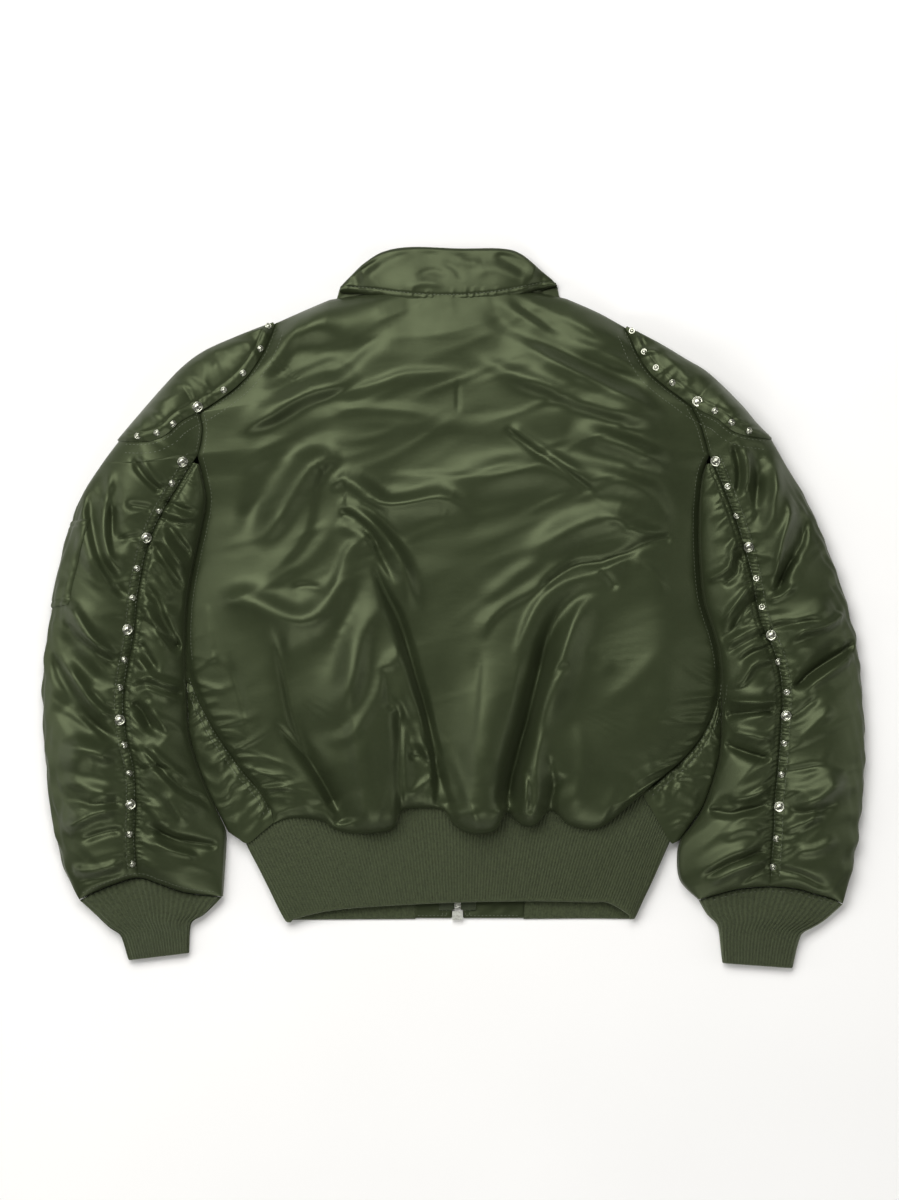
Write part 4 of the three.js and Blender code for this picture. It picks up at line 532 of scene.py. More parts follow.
SLEEVE_FINE_FOLDS = [
    # left sleeve, outside the studded seam
    Fold(-5.0, 7, 5, 0.25, 0.15, [
        (91, 486), (92, 510), (96, 535), (102, 556), (113, 577), (123, 592), (133, 602),
    ]),
    Fold(4.0, 5, 6, 0.2, 0.25, [(112, 465), (111, 485), (108, 505), (108, 530), (113, 556), (122, 580)]),
    Fold(-2.6, 3, 4, 0.25, 0.3, [(116, 500), (113, 520), (113, 545), (120, 568)]),
    Fold(3.0, 7, 6, 0.3, 0.3, [(84, 480), (81, 505), (84, 540), (92, 566), (105, 590)]),
    Fold(-3.6, 4, 4, 0.3, 0.15, [(133, 456), (142, 471), (152, 483), (164, 494)]),
    Fold(2.6, 4, 4, 0.3, 0.2, [(141, 455), (149, 470), (158, 481), (168, 489)]),
    Fold(-2.0, 3, 4, 0.3, 0.2, [(118, 541), (130, 538), (145, 536)]),
    Fold(-2.4, 4, 4, 0.3, 0.2, [(126, 505), (140, 507), (156, 510)]),
    Fold(3.2, 6, 5, 0.25, 0.2, [(58, 600), (74, 609), (88, 630), (104, 647), (124, 659)]),
    Fold(-3.4, 4, 5, 0.2, 0.2, [(62, 616), (80, 637), (98, 652), (122, 668)]),
    Fold(-5.0, 6, 6, 0.2, 0.15, [(50, 648), (62, 675), (80, 703), (97, 723), (122, 744)]),
    Fold(3.4, 6, 5, 0.25, 0.2, [(66, 660), (84, 688), (101, 708), (118, 720)]),
    Fold(-3.0, 4, 4, 0.3, 0.2, [(88, 684), (104, 702), (120, 713)]),
    Fold(3.0, 8, 6, 0.3, 0.3, [(62, 742), (90, 748), (120, 762)]),
    Fold(2.8, 7, 6, 0.3, 0.3, [(62, 776), (88, 786), (120, 795)]),
    Fold(-3.2, 5, 4, 0.4, 0.15, [(66, 795), (92, 803), (126, 801)]),
    Fold(3.4, 5, 6, 0.25, 0.25, [(60, 830), (78, 822), (98, 813), (122, 808)]),
    Fold(-2.8, 4, 4, 0.3, 0.2, [(80, 841), (104, 832), (126, 828)]),
    Fold(3.0, 5, 5, 0.25, 0.2, [(70, 868), (95, 870), (126, 861)]),
    Fold(-2.4, 4, 4, 0.3, 0.2, [(76, 882), (98, 877), (126, 871)]),
    # left sleeve, inside the studded seam
    Fold(-4.0, 4, 5, 0.2, 0.3, [(166, 520), (180, 540), (196, 562)]),
    Fold(3.4, 5, 4, 0.2, 0.3, [(159, 530), (174, 553), (190, 576)]),
    Fold(-4.4, 4, 5, 0.2, 0.25, [(154, 540), (168, 565), (186, 592)]),
    Fold(3.0, 5, 5, 0.2, 0.3, [(146, 560), (160, 584), (178, 606)]),
    Fold(-4.8, 4, 6, 0.2, 0.12, [(143, 582), (157, 598), (165, 620), (176, 640), (187, 650)]),
    Fold(3.2, 5, 4, 0.2, 0.3, [(140, 600), (150, 614), (158, 630), (172, 650)]),
    Fold(-3.2, 3, 4, 0.15, 0.2, [(138, 617), (154, 626), (170, 640), (186, 652)]),
    Fold(-3.8, 4, 5, 0.2, 0.3, [(140, 640), (151, 658), (161, 674)]),
    Fold(2.8, 4, 4, 0.2, 0.3, [(136, 655), (148, 670), (162, 682)]),
    Fold(-2.4, 3, 3, 0.15, 0.3, [(164, 500), (184, 509), (201, 512)]),
    Fold(2.4, 3, 3, 0.15, 0.3, [(160, 508), (180, 517), (200, 519)]),
    Fold(-2.2, 3, 3, 0.15, 0.3, [(158, 515), (176, 523), (198, 526)]),
    Fold(-3.6, 4, 4, 0.2, 0.2, [(131, 688), (148, 684), (166, 690), (190, 695)]),
    Fold(2.6, 4, 4, 0.2, 0.2, [(134, 680), (150, 676), (170, 683), (190, 688)]),
    Fold(-4.6, 4, 6, 0.15, 0.3, [(134, 700), (146, 716), (154, 736)]),
    Fold(3.2, 5, 4, 0.2, 0.3, [(146, 698), (158, 716), (170, 734)]),
    Fold(-2.8, 3, 3, 0.1, 0.2, [(140, 742), (160, 766), (184, 789), (207, 801), (219, 820)]),
    Fold(2.4, 4, 4, 0.2, 0.3, [(148, 742), (168, 762), (192, 782)]),
    Fold(-2.4, 3, 4, 0.2, 0.3, [(139, 770), (158, 766), (176, 770)]),
    Fold(2.8, 6, 6, 0.3, 0.3, [(162, 790), (176, 806), (190, 826)]),
    Fold(-3.8, 4, 4, 0.25, 0.1, [(146, 822), (168, 834), (194, 841), (220, 846)]),
    Fold(2.8, 4, 4, 0.25, 0.2, [(148, 836), (170, 848), (200, 856)]),
    Fold(2.6, 5, 5, 0.25, 0.3, [(142, 800), (156, 812), (168, 828)]),
    # right sleeve, outside the studded seam
    Fold(-4.4, 4, 4, 0.2, 0.2, [(731, 442), (737, 464), (738, 482), (734, 500)]),
    Fold(3.2, 5, 4, 0.25, 0.25, [(742, 448), (747, 470), (744, 495)]),
    Fold(-3.0, 5, 5, 0.3, 0.3, [(758, 470), (755, 500), (757, 528)]),
    Fold(3.2, 6, 5, 0.3, 0.3, [(772, 452), (775, 480), (769, 520), (762, 540)]),
    Fold(3.4, 5, 4, 0.25, 0.25, [(785, 494), (789, 515), (779, 545), (772, 585)]),
    Fold(-5.0, 5, 6, 0.25, 0.15, [(803, 512), (800, 540), (786, 564), (774, 600)]),
    Fold(-2.8, 4, 4, 0.3, 0.2, [(801, 556), (788, 563), (777, 588)]),
    Fold(2.4, 4, 4, 0.25, 0.3, [(764, 602), (780, 594), (796, 584)]),
    Fold(-3.0, 4, 4, 0.15, 0.3, [(766, 630), (790, 624), (824, 618)]),
    Fold(3.6, 4, 5, 0.2, 0.25, [(842, 602), (840, 616), (822, 627), (800, 632), (784, 646)]),
    Fold(-4.4, 4, 5, 0.15, 0.1, [(790, 690), (806, 675), (824, 663), (840, 653), (858, 638)]),
    Fold(3.4, 5, 5, 0.2, 0.2, [(800, 692), (815, 680), (838, 665), (856, 652)]),
    Fold(-2.8, 4, 4, 0.15, 0.3, [(786, 718), (802, 708), (818, 694)]),
    Fold(2.8, 7, 7, 0.25, 0.3, [(790, 742), (812, 724), (834, 706)]),
    Fold(-2.4, 4, 4, 0.15, 0.3, [(780, 772), (800, 768), (826, 764)]),
    Fold(3.2, 8, 6, 0.3, 0.3, [(792, 800), (818, 796), (846, 774)]),
    Fold(-3.0, 4, 5, 0.2, 0.3, [(784, 810), (806, 811), (838, 802)]),
    Fold(2.6, 5, 5, 0.2, 0.3, [(780, 830), (800, 822), (824, 812)]),
    Fold(-3.0, 4, 4, 0.15, 0.25, [(772, 868), (798, 873), (828, 889)]),
    Fold(2.6, 6, 6, 0.25, 0.3, [(790, 850), (814, 848), (838, 836)]),
    # right sleeve, inside the studded seam
    Fold(3.4, 4, 4, 0.15, 0.15, [(744, 540), (731, 545), (729, 564), (716, 575), (702, 581)]),
    Fold(-3.2, 4, 4, 0.2, 0.2, [(748, 552), (737, 560), (736, 574), (720, 586)]),
    Fold(3.2, 4, 4, 0.15, 0.3, [(758, 580), (744, 592), (728, 612), (720, 628)]),
    Fold(-3.2, 4, 4, 0.15, 0.3, [(762, 590), (750, 603), (736, 621), (728, 636)]),
    Fold(3.0, 4, 4, 0.15, 0.25, [(764, 624), (745, 631), (722, 645)]),
    Fold(-3.4, 4, 4, 0.15, 0.25, [(768, 632), (748, 640), (724, 655)]),
    Fold(3.0, 4, 5, 0.15, 0.3, [(774, 658), (752, 664), (742, 680), (727, 690)]),
    Fold(-3.0, 4, 4, 0.15, 0.3, [(772, 648), (752, 652), (736, 664)]),
    Fold(3.4, 3, 4, 0.1, 0.15, [(778, 701), (750, 702), (723, 700)]),
    Fold(-5.0, 4, 6, 0.15, 0.1, [(776, 709), (748, 711), (722, 716)]),
    Fold(-3.8, 4, 4, 0.15, 0.1, [(771, 759), (746, 752), (722, 742)]),
    Fold(3.0, 5, 5, 0.2, 0.2, [(774, 740), (750, 735), (728, 730)]),
    Fold(-3.8, 4, 4, 0.1, 0.2, [(770, 801), (746, 810), (722, 813), (704, 806)]),
    Fold(3.0, 5, 5, 0.15, 0.25, [(768, 786), (748, 796), (726, 800)]),
    Fold(2.6, 6, 6, 0.2, 0.3, [(764, 830), (742, 828), (718, 838)]),
    Fold(-3.6, 3, 4, 0.1, 0.2, [(768, 848), (732, 860), (700, 878)]),
    Fold(2.8, 4, 4, 0.15, 0.25, [(766, 858), (736, 868), (708, 884)]),
    Fold(-2.4, 3, 4, 0.1, 0.3, [(768, 866), (752, 874), (736, 886)]),
]
COLLAR_FOLDS = [
    Fold(1.3, 5, 8, 0.2, 0.3, [(362, 282), (380, 268), (398, 259), (416, 256)]),
    Fold(-1.5, 6, 5, 0.2, 0.3, [(352, 286), (364, 272), (382, 259)]),
    Fold(1.4, 7, 6, 0.25, 0.3, [(470, 278), (490, 269), (510, 275), (530, 285)]),
    Fold(-1.7, 7, 7, 0.2, 0.3, [(494, 252), (512, 264), (532, 278)]),
    Fold(-1.1, 4, 5, 0.3, 0.3, [(414, 279), (432, 272), (450, 278)]),
    Fold(1.0, 4, 4, 0.3, 0.3, [(404, 290), (424, 284), (446, 287)]),
    Fold(-1.0, 4, 4, 0.3, 0.3, [(440, 262), (456, 270), (462, 284)]),
    Fold(1.2, 5, 5, 0.3, 0.3, [(452, 256), (468, 264), (484, 262)]),
]
# Hollows under the layer that lies on the surface
FRONT_FOLDS = {
    "left": [
        Fold(1.1, 8, 6, 0.2, 0.3, [(225, 440), (262, 480), (300, 560), (322, 640)]),
        Fold(0.9, 6, 7, 0.3, 0.3, [(228, 470), (250, 540), (262, 620)]),
        Fold(1.2, 7, 9, 0.2, 0.3, [(300, 810), (318, 740), (352, 660), (372, 600)]),
        Fold(0.9, 6, 6, 0.2, 0.3, [(352, 818), (372, 752), (388, 690)]),
        Fold(1.0, 6, 7, 0.2, 0.3, [(408, 822), (412, 770), (432, 700), (440, 640)]),
        Fold(0.8, 5, 7, 0.3, 0.3, [(442, 470), (392, 486), (330, 470)]),
        Fold(0.9, 6, 5, 0.3, 0.3, [(262, 800), (276, 736), (300, 690)]),
    ],
    "right": [
        Fold(1.1, 7, 7, 0.2, 0.3, [(668, 442), (640, 500), (596, 560), (566, 650)]),
        Fold(0.9, 7, 5, 0.3, 0.3, [(664, 520), (640, 590), (634, 660)]),
        Fold(1.2, 9, 6, 0.2, 0.3, [(620, 812), (596, 740), (560, 680), (548, 610)]),
        Fold(0.8, 6, 6, 0.2, 0.3, [(566, 818), (548, 760), (540, 700)]),
        Fold(1.0, 7, 6, 0.2, 0.3, [(506, 822), (500, 760), (482, 690), (478, 620)]),
        Fold(0.8, 6, 6, 0.3, 0.3, [(474, 430), (520, 452), (590, 440)]),
    ],
}
UNDER_FOLDS = {
    "left": [
        Fold(1.2, 6, 8, 0.2, 0.3, [(182, 520), (140, 566), (96, 590), (66, 596)]),
        Fold(1.0, 7, 5, 0.2, 0.3, [(190, 604), (150, 640), (104, 652)]),
        Fold(1.1, 6, 6, 0.2, 0.3, [(186, 690), (142, 700), (84, 690)]),
        Fold(0.9, 5, 7, 0.3, 0.3, [(196, 786), (150, 770), (92, 778)]),
        Fold(1.0, 6, 6, 0.2, 0.2, [(130, 884), (126, 830), (140, 780)]),
        Fold(0.8, 5, 5, 0.2, 0.3, [(180, 880), (176, 834), (188, 800)]),
    ],
    "right": [
        Fold(1.2, 8, 6, 0.2, 0.3, [(724, 520), (768, 560), (812, 580), (836, 588)]),
        Fold(1.0, 5, 7, 0.2, 0.3, [(722, 620), (766, 634), (820, 628)]),
        Fold(1.1, 6, 6, 0.2, 0.3, [(728, 712), (780, 706), (838, 690)]),
        Fold(0.9, 7, 5, 0.3, 0.3, [(716, 800), (768, 790), (830, 800)]),
        Fold(1.0, 6, 6, 0.2, 0.2, [(786, 886), (792, 836), (778, 790)]),
        Fold(0.8, 5, 5, 0.2, 0.3, [(740, 884), (736, 840), (722, 812)]),
    ],
}
ALL_FOLDS = BACK_FOLDS + SLEEVE_FOLDS


def relief(folds, xy):
    z = np.zeros(xy.shape[:-1])
    for fold in folds:
        fold.add_to(xy, z)
    return z


def ripple(x, y, seed, wave, depth, count=9):
    """Uneven low waves in every direction, about wave mm long."""
    rng = np.random.default_rng(seed)
    z = np.zeros_like(x)
    for _ in range(count):
        angle, phase = rng.uniform(0, math.tau, 2)
        step = wave * rng.uniform(0.7, 1.5)
        z += np.cos((x * math.cos(angle) + y * math.sin(angle)) * math.tau / step + phase)
    return depth * z / math.sqrt(count)


def drape(x, y, seed, wave, depth, stretch=(1.0, 1.0), turn=0.0):
    """Long soft creases that wander, each with one steeper side."""
    c, s = math.cos(turn), math.sin(turn)
    a, b = (x * c + y * s) / stretch[0], (y * c - x * s) / stretch[1]
    sideways = ripple(a, b, seed + 50, wave * 2.4, wave * 0.3)
    lengthways = ripple(b, a, seed + 60, wave * 2.4, wave * 0.3)
    z = ripple(a + sideways, b + lengthways, seed, wave, 1.0, 7)
    return depth * (z + 0.35 * np.abs(z) ** 1.5 - 0.3)


def gathers(along, away, seed, pitch, reach, depth, skew=0.0):
    """Small ridges that fan out from a drawn-up seam: along it and away from it in mm."""
    rng = np.random.default_rng(seed)
    z = np.zeros_like(along)
    place = along.min() - reach
    while place < along.max() + reach:
        place += pitch * rng.uniform(0.5, 1.6)
        length = reach * rng.uniform(0.35, 1.4)
        height = depth * rng.uniform(0.4, 1.3)
        lean = skew + rng.normal(0, 0.22)
        bend = rng.normal(0, 0.004)
        width = pitch * rng.uniform(0.26, 0.44)
        offset = (along - place - lean * away - bend * away**2) / (width + 0.06 * away)
        # One side of each ridge is the steeper one.
        steep = np.where(offset > 0, 1.5, 1.0)
        fade = smooth(away / 6) * np.clip(1 - away / length, 0, 1) ** 0.9
        z += height * np.exp(-((offset * steep) ** 2)) * fade
    return z - 0.4 * depth * smooth(away / 5) * np.exp(-away / reach)


def groove(distance, width=2.2, depth=2.0):
    return -depth * np.exp(-((distance / width) ** 2))


# Mesh building
def to_part(xy, z):
    return np.stack([xy[..., 0] - SHEET_CENTRE[0], SHEET_CENTRE[1] - xy[..., 1], z], -1)


def make_object(name, points, faces, material, uv=None):
    mesh = bpy.data.meshes.new(name)
    mesh.from_pydata((points / 1000).tolist(), [], faces if isinstance(faces, list) else faces.tolist())
    mesh.update()
    mesh.polygons.foreach_set("use_smooth", np.ones(len(mesh.polygons), bool))
    if uv is not None:
        layer = mesh.uv_layers.new(name="cloth")
        loops = np.empty(len(mesh.loops), int)
        mesh.loops.foreach_get("vertex_index", loops)
        layer.data.foreach_set("uv", uv[loops].ravel())
    mesh.materials.append(material)
    obj = bpy.data.objects.new(name, mesh)
    bpy.context.collection.objects.link(obj)
    return obj


def grid_faces(rows, columns, ring=False):
    i = np.arange(rows - 1)[:, None]
    j = np.arange(columns if ring else columns - 1)[None, :]
    a, b = i * columns + j, i * columns + (j + 1) % columns
    return np.stack([a, b, b + columns, a + columns], -1).reshape(-1, 4)


def cloth(name, grid, material, ring=False):
    """A sheet through a grid of points, turned so that its middle faces up."""
    rows, columns = grid.shape[:2]
    faces = grid_faces(rows, columns, ring)
    i, j = rows // 2, columns // 3
    turn = np.cross(grid[i, j + 1] - grid[i, j], grid[i + 1, j] - grid[i, j])
    if turn[2] < 0:
        faces = faces[:, ::-1]
    across = np.cumsum(np.linalg.norm(np.diff(grid, axis=1, prepend=grid[:, :1]), axis=2), axis=1)
    down = np.cumsum(np.linalg.norm(np.diff(grid, axis=0, prepend=grid[:1]), axis=2), axis=0)
    uv = np.stack([across, down], -1).reshape(-1, 2) / 1000
    return make_object(name, grid.reshape(-1, 3), faces, material, uv)


def dress(obj, body, slot, *nodes):
    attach(obj, body)
    if nodes:
        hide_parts(*nodes)
    return obj


def roll_under(edge, inwards, turns, scale=1.0):
    """The points below an outer fold: the roll, then the lip that lies on the surface."""
    angle = np.append(turns, 1) * math.pi / 2
    inset = scale * ROLL["inset"] * (1 - np.cos(angle))
    height = scale * ROLL["middle"] * (1 - np.sin(angle))
    inset[-1] = scale * (ROLL["inset"] + ROLL["lip"])
    height[-1] = 0
    under = edge[:, None, :] + inwards[:, None, :] * inset[None, :, None]
    under[..., 2] = edge[:, None, 2] * height[None, :] / (scale * ROLL["middle"])
    return under


def section_height(start, end, w, crown, roundness):
    swell = crown * np.sin(math.pi * np.clip(w, 0, 1) ** 0.8)
    return end + (start - end + swell) * np.sqrt(np.maximum(0, 1 - np.clip(w, 0, 1) ** roundness))


# Back panel: r runs down its side edges, part by part, and u across it.
BACK_PARTS = (6, 3, 9, 8)
BACK_RUN = sum(BACK_PARTS)
SHOULDER_SHARE = 0.17


def back_edge(side, r):
    lines = (SADDLE[side]["body_edge"], ARMHOLE[side], PLEAT[side], SIDE_SEAM[side])
    edge = np.zeros(r.shape + (2,))
    start = 0
    for steps, line in zip(BACK_PARTS, lines):
        here = (r >= start) & (r <= start + steps)
        edge[here] = line.at((r[here] - start) / steps)
        start += steps
    return edge


def back_top(u):
    inner = (u - SHOULDER_SHARE) / (1 - 2 * SHOULDER_SHARE)
    left = BACK_SHOULDER_LEFT.at(1 - u / SHOULDER_SHARE)
    right = BACK_SHOULDER_RIGHT.at((u - 1 + SHOULDER_SHARE) / SHOULDER_SHARE)
    top = np.where((u < SHOULDER_SHARE)[..., None], left, NECKLINE.at(inner))
    return np.where((u > 1 - SHOULDER_SHARE)[..., None], right, top)


def back_points(r, u):
    """Points of the back for arrays of places down and across it."""
    v = r / BACK_RUN
    left, right = back_edge("left", r), back_edge("right", r)
    ends = np.array([0.0, float(BACK_RUN)])
    left_ends, right_ends = back_edge("left", ends), back_edge("right", ends)
    top_shift = back_top(u) - mix(left_ends[0], right_ends[0], u)
    hem_shift = BACK_HEM.at(u) - mix(left_ends[1], right_ends[1], u)
    xy = left + (right - left) * u[..., None]
    xy = xy + top_shift * ((1 - v) ** 3)[..., None] + hem_shift * (v**7)[..., None]
    edge = lerp(EDGE_HEIGHT["left"](left[..., 1]), EDGE_HEIGHT["right"](right[..., 1]), u)
    bulge = np.maximum(0, 1 - np.abs(2 * u - 1) ** 3.2) ** 0.6
    full = edge + (BACK_CROWN(xy[..., 1]) - edge) * bulge
    inside = np.minimum(u, 1 - u)
    z = full + FOLD_SCALE * relief(ALL_FOLDS, xy) * smooth(inside * 9) + back_details(xy, r, u, left, right)
    top = back_top(u)
    on_neck = smooth((inside - SHOULDER_SHARE + 0.06) / 0.12)
    from_top = np.hypot(*np.moveaxis(xy - top, -1, 0))
    at_neck = 0.2 * smooth(from_top / 70) + 0.8 * round_off(from_top / NECK_ROUND)
    rise = lerp(round_off(from_top / SHOULDER_ROUND), at_neck, on_neck)
    z = lerp(NECK_HEIGHT(top[..., 0]), z, rise)
    from_hem = np.maximum(0, BACK_HEM.at(u)[..., 1] - xy[..., 1])
    z = np.where(v > 0.6, lerp(HEM_REST, z, round_off(from_hem / HEM_ROUND)), z)
    return to_part(xy, z)


def back_details(xy, r, u, left, right):
    """Creases, soft waves and the gathers beside the drawn-up side seams."""
    x, y = xy[..., 0], xy[..., 1]
    inside = np.minimum(u, 1 - u)
    z = FINE_SCALE * relief(FINE_FOLDS, xy) * smooth(inside * 12)
    # The upper back is drawn in broad bands across, and the lobes above the hem are smoother.
    upper = 1 - smooth((y - 520) / 90)
    z = z + ripple(x, y, 3, 105, 1.3) * smooth(inside * 8)
    z = z + drape(x, y, 17, 70, 0.7, (2.6, 0.8), -0.15) * smooth(inside * 8) * upper
    z = z + drape(x, y, 11, 27, 0.26, (2.6, 0.7), -0.25) * smooth(inside * 8) * lerp(0.25, 1, upper)
    seam_start = sum(BACK_PARTS[:3])
    for side, edge in (("left", left), ("right", right)):
        away = np.hypot(*np.moveaxis(xy - edge, -1, 0))
        along = (r - seam_start) * SIDE_SEAM[side].length / BACK_PARTS[3]
        drawn = smooth((r - seam_start + 2) / 2)
        z = z + drawn * gathers(along, away, 21 + INWARDS[side], 9, 46, 3.0)
        z = z + groove(away, 3, 1.5) * smooth((r - 2) / 2)
    from_neck = np.hypot(*np.moveaxis(xy - back_top(u), -1, 0))
    neck = smooth((u - 0.2) / 0.1) * smooth((0.8 - u) / 0.1)
    z = z + neck * gathers(x, from_neck, 31, 15, 26, 1.2)
    from_hem = np.hypot(*np.moveaxis(BACK_HEM.at(u) - xy, -1, 0))
    return z + gathers(x, from_hem, 37, 17, 70, 2.6) * smooth(inside * 10)


def make_back(material):
    r = np.linspace(0, BACK_RUN, BACK_ROWS)
    u = np.linspace(0, 1, BACK_COLUMNS)
    rr, uu = np.meshgrid(r, u, indexing="ij")
    grid = back_points(rr, uu)
    # The pleated sides are folded edges that lap a little over the sleeves.
    lap = (smooth((r - 8) / 3) * (1 - smooth((r - 19) / 1.5)))[:, None]
    ruffle = np.exp(-(((r - 18.2) / 1.2) ** 2))[:, None]
    fullness = lerp(0.3, 1, lap) + 3.0 * ruffle * (1 + 0.35 * np.sin(9 * r)[:, None])
    rows = {1: [], -1: []}
    for way, edge in ((1, grid[:, :1]), (-1, grid[:, -1:])):
        for out, drop in ((1.2, 0.6), (1.7, 1.9), (1.2, 3.2), (-0.6, 4.0), (-5.0, 4.6)):
            row = edge.copy()
            row[..., 0] -= way * out * fullness
            row[..., 2] = np.maximum(row[..., 2] - drop, 3.0)
            rows[way].append(row)
    grid = np.concatenate(rows[1][::-1] + [grid] + rows[-1], 1)
    hem = []
    for inset, drop in ((-1.0, 1.6), (0.5, 2.3), (8, 2.3)):
        row = grid[-1:].copy()
        row[..., 1] += inset
        row[..., 2] = np.maximum(row[..., 2] - drop, WAIST_HEIGHT + 0.3)
        hem.append(row)
    return cloth("back", np.concatenate([grid] + hem, 0), material)


# Sleeves: r runs down from the armhole to the cuff, and w from the studded seam out to the fold.
SLEEVE_ROWS = (3, 27)
SLEEVE_RUN = sum(SLEEVE_ROWS)
CUFF_DROP = 30
RUCHE = {
    "outer": {"seed": 100, "skew": -0.4, "strip": 8.5},
    "inner": {"seed": 140, "skew": 0.35, "strip": 4.5},
}


def toward_cuff(t, length, height):
    return lerp(CUFF_HEIGHT + 1, height, round_off((1 - t) * length / CUFF_DROP))


def sleeve_lines(side, r):
    """The seam point, the fold point and the share down the sleeve."""
    piece = SLEEVE[side]
    cap = r / SLEEVE_ROWS[0]
    t = (r - SLEEVE_ROWS[0]) / SLEEVE_ROWS[1]
    in_cap = (r < SLEEVE_ROWS[0])[..., None]
    seam = np.where(in_cap, ARMHOLE[side].at(cap), piece["seam"].at(t))
    fold_share = np.where(in_cap[..., 0], piece["knee"] * cap, lerp(piece["knee"], 1, t))
    along = np.where(in_cap[..., 0], CAP_SHARE * cap, lerp(CAP_SHARE, 1, t))
    return seam, piece["outer"].at(fold_share), along


def cuff_split(side):
    line = Line(SLEEVE[side]["cuff_edge"])
    shares = np.linspace(0, 1, 201)
    gap = np.hypot(*(line.at(shares) - SLEEVE[side]["seam"].at(1.0)).T)
    return line, shares[gap.argmin()]


def sleeve_outer_points(side, r, w, detail=True):
    seam, fold, along = sleeve_lines(side, r)
    edge = SADDLE[side]["sleeve_edge"]
    xy = mix(seam, fold, w)
    saddle_bow = edge.at(w) - mix(edge.at(0.0), edge.at(1.0), w)
    xy = xy + saddle_bow * (np.clip(1 - r / 6, 0, 1) ** 2)[..., None]
    line, split = cuff_split(side)
    cuff_bow = line.at(split * (1 - w)) - mix(line.at(split), line.at(0.0), w)
    xy = xy + cuff_bow * (np.clip(1 - (SLEEVE_RUN - r) / 6, 0, 1) ** 2)[..., None]
    width = np.hypot(*np.moveaxis(fold - seam, -1, 0))
    free = np.sin(math.pi * np.minimum(1, w + 0.02)) ** 0.5
    calm = smooth(r / 4) * smooth((SLEEVE_RUN - r) / 3)
    raised = FOLD_SCALE * relief(ALL_FOLDS, xy) * free * calm
    if detail:
        raised = raised + sleeve_details(side, "outer", xy, r, w * width)
    seam_height = np.where(r < SLEEVE_ROWS[0], EDGE_HEIGHT[side](seam[..., 1]), SEAM_HEIGHT(along))
    z = section_height(seam_height, ROLL["middle"], w, 11, 5)
    z = z + raised * smooth((1 - w) * 9)
    z = toward_cuff(r / SLEEVE_RUN, SLEEVE[side]["seam"].length, z)
    return to_part(xy, np.where(w >= 1, ROLL["middle"], z))


def sleeve_details(side, piece, xy, r, away):
    """Gathers, creases and the ruched strip. away is the distance from the studded seam."""
    x, y = xy[..., 0], xy[..., 1]
    run = SLEEVE[side]["seam"].length / SLEEVE_ROWS[1]
    along = (r - (SLEEVE_ROWS[0] if piece == "outer" else 0)) * run
    seed = RUCHE[piece]["seed"] + INWARDS[side]
    skew, strip = RUCHE[piece]["skew"], RUCHE[piece]["strip"]
    drawn = smooth((along + 4) / 25) * smooth((SLEEVE[side]["seam"].length - along) / 20)
    z = drawn * gathers(along, away, seed, 5.5, 17, 1.5, skew)
    z = z + drawn * gathers(along, away, seed + 11, 3.8, 10, 0.8, skew)
    z = z + drawn * gathers(along, away, seed + 7, 12, 46, 2.0, skew)
    z = z + FINE_SCALE * relief(SLEEVE_FINE_FOLDS, xy)
    z = z + drape(x, y, seed + 3, 26, 0.4, (1.8, 0.8), 0.6 * INWARDS[side])
    # The ruched strip beside the seam is quilted down by its topstitching.
    ruche = np.exp(-((away - strip / 2) / (strip / 2.6)) ** 2)
    turn = along * math.pi / 4.2 + 1.9 * np.sin(along / 9 + seed)
    wave = 1 - 2 * (1 - np.abs(np.sin(turn))) ** 1.5
    z = z + drawn * ruche * (1.2 * wave - 0.5)
    z = z + drawn * (groove(away, 1.4, 1.1) + groove(away - strip, 1.5, 0.8))
    return z


def sleeve_outer_grid(side):
    length = SLEEVE[side]["seam"].length
    r = np.linspace(0, SLEEVE_RUN, int(length / 1.05))
    w = np.concatenate([np.linspace(0, 0.9, 56)[:-1], 1 - 0.1 * np.linspace(1, 0, 10) ** 2])
    rr, ww = np.meshgrid(r, w, indexing="ij")
    top = sleeve_outer_points(side, rr, ww)
    edge = top[:, -1]
    inwards = top[:, 40] - edge
    inwards[:, 2] = 0
    inwards /= np.linalg.norm(inwards, axis=1, keepdims=True)
    seamwise = np.array([INWARDS[side], 0, 0.0])
    start = (1 - smooth(r / 4))[:, None]
    inwards = inwards * (1 - start) + seamwise * start
    inwards /= np.linalg.norm(inwards, axis=1, keepdims=True)
    under = roll_under(edge, inwards, np.linspace(ROLL_START, 1, 8))
    grid = np.concatenate([top, under], 1)
    # The arm's folded edge wanders a little.
    wander = ripple(grid[..., 1], 3 * grid[..., 2], 61 + INWARDS[side], 26, 0.9)
    reach = np.concatenate([smooth((w - 0.75) / 0.2), np.linspace(1, 0, under.shape[1])])
    free = smooth((r - 4) / 3) * smooth((SLEEVE_RUN - r) / 2)
    grid[..., 0] -= INWARDS[side] * wander * reach[None, :] * free[:, None]
    return grid


def make_sleeve_outer(side, material):
    return cloth(f"sleeve_outer_panel_{side}", sleeve_outer_grid(side), material)


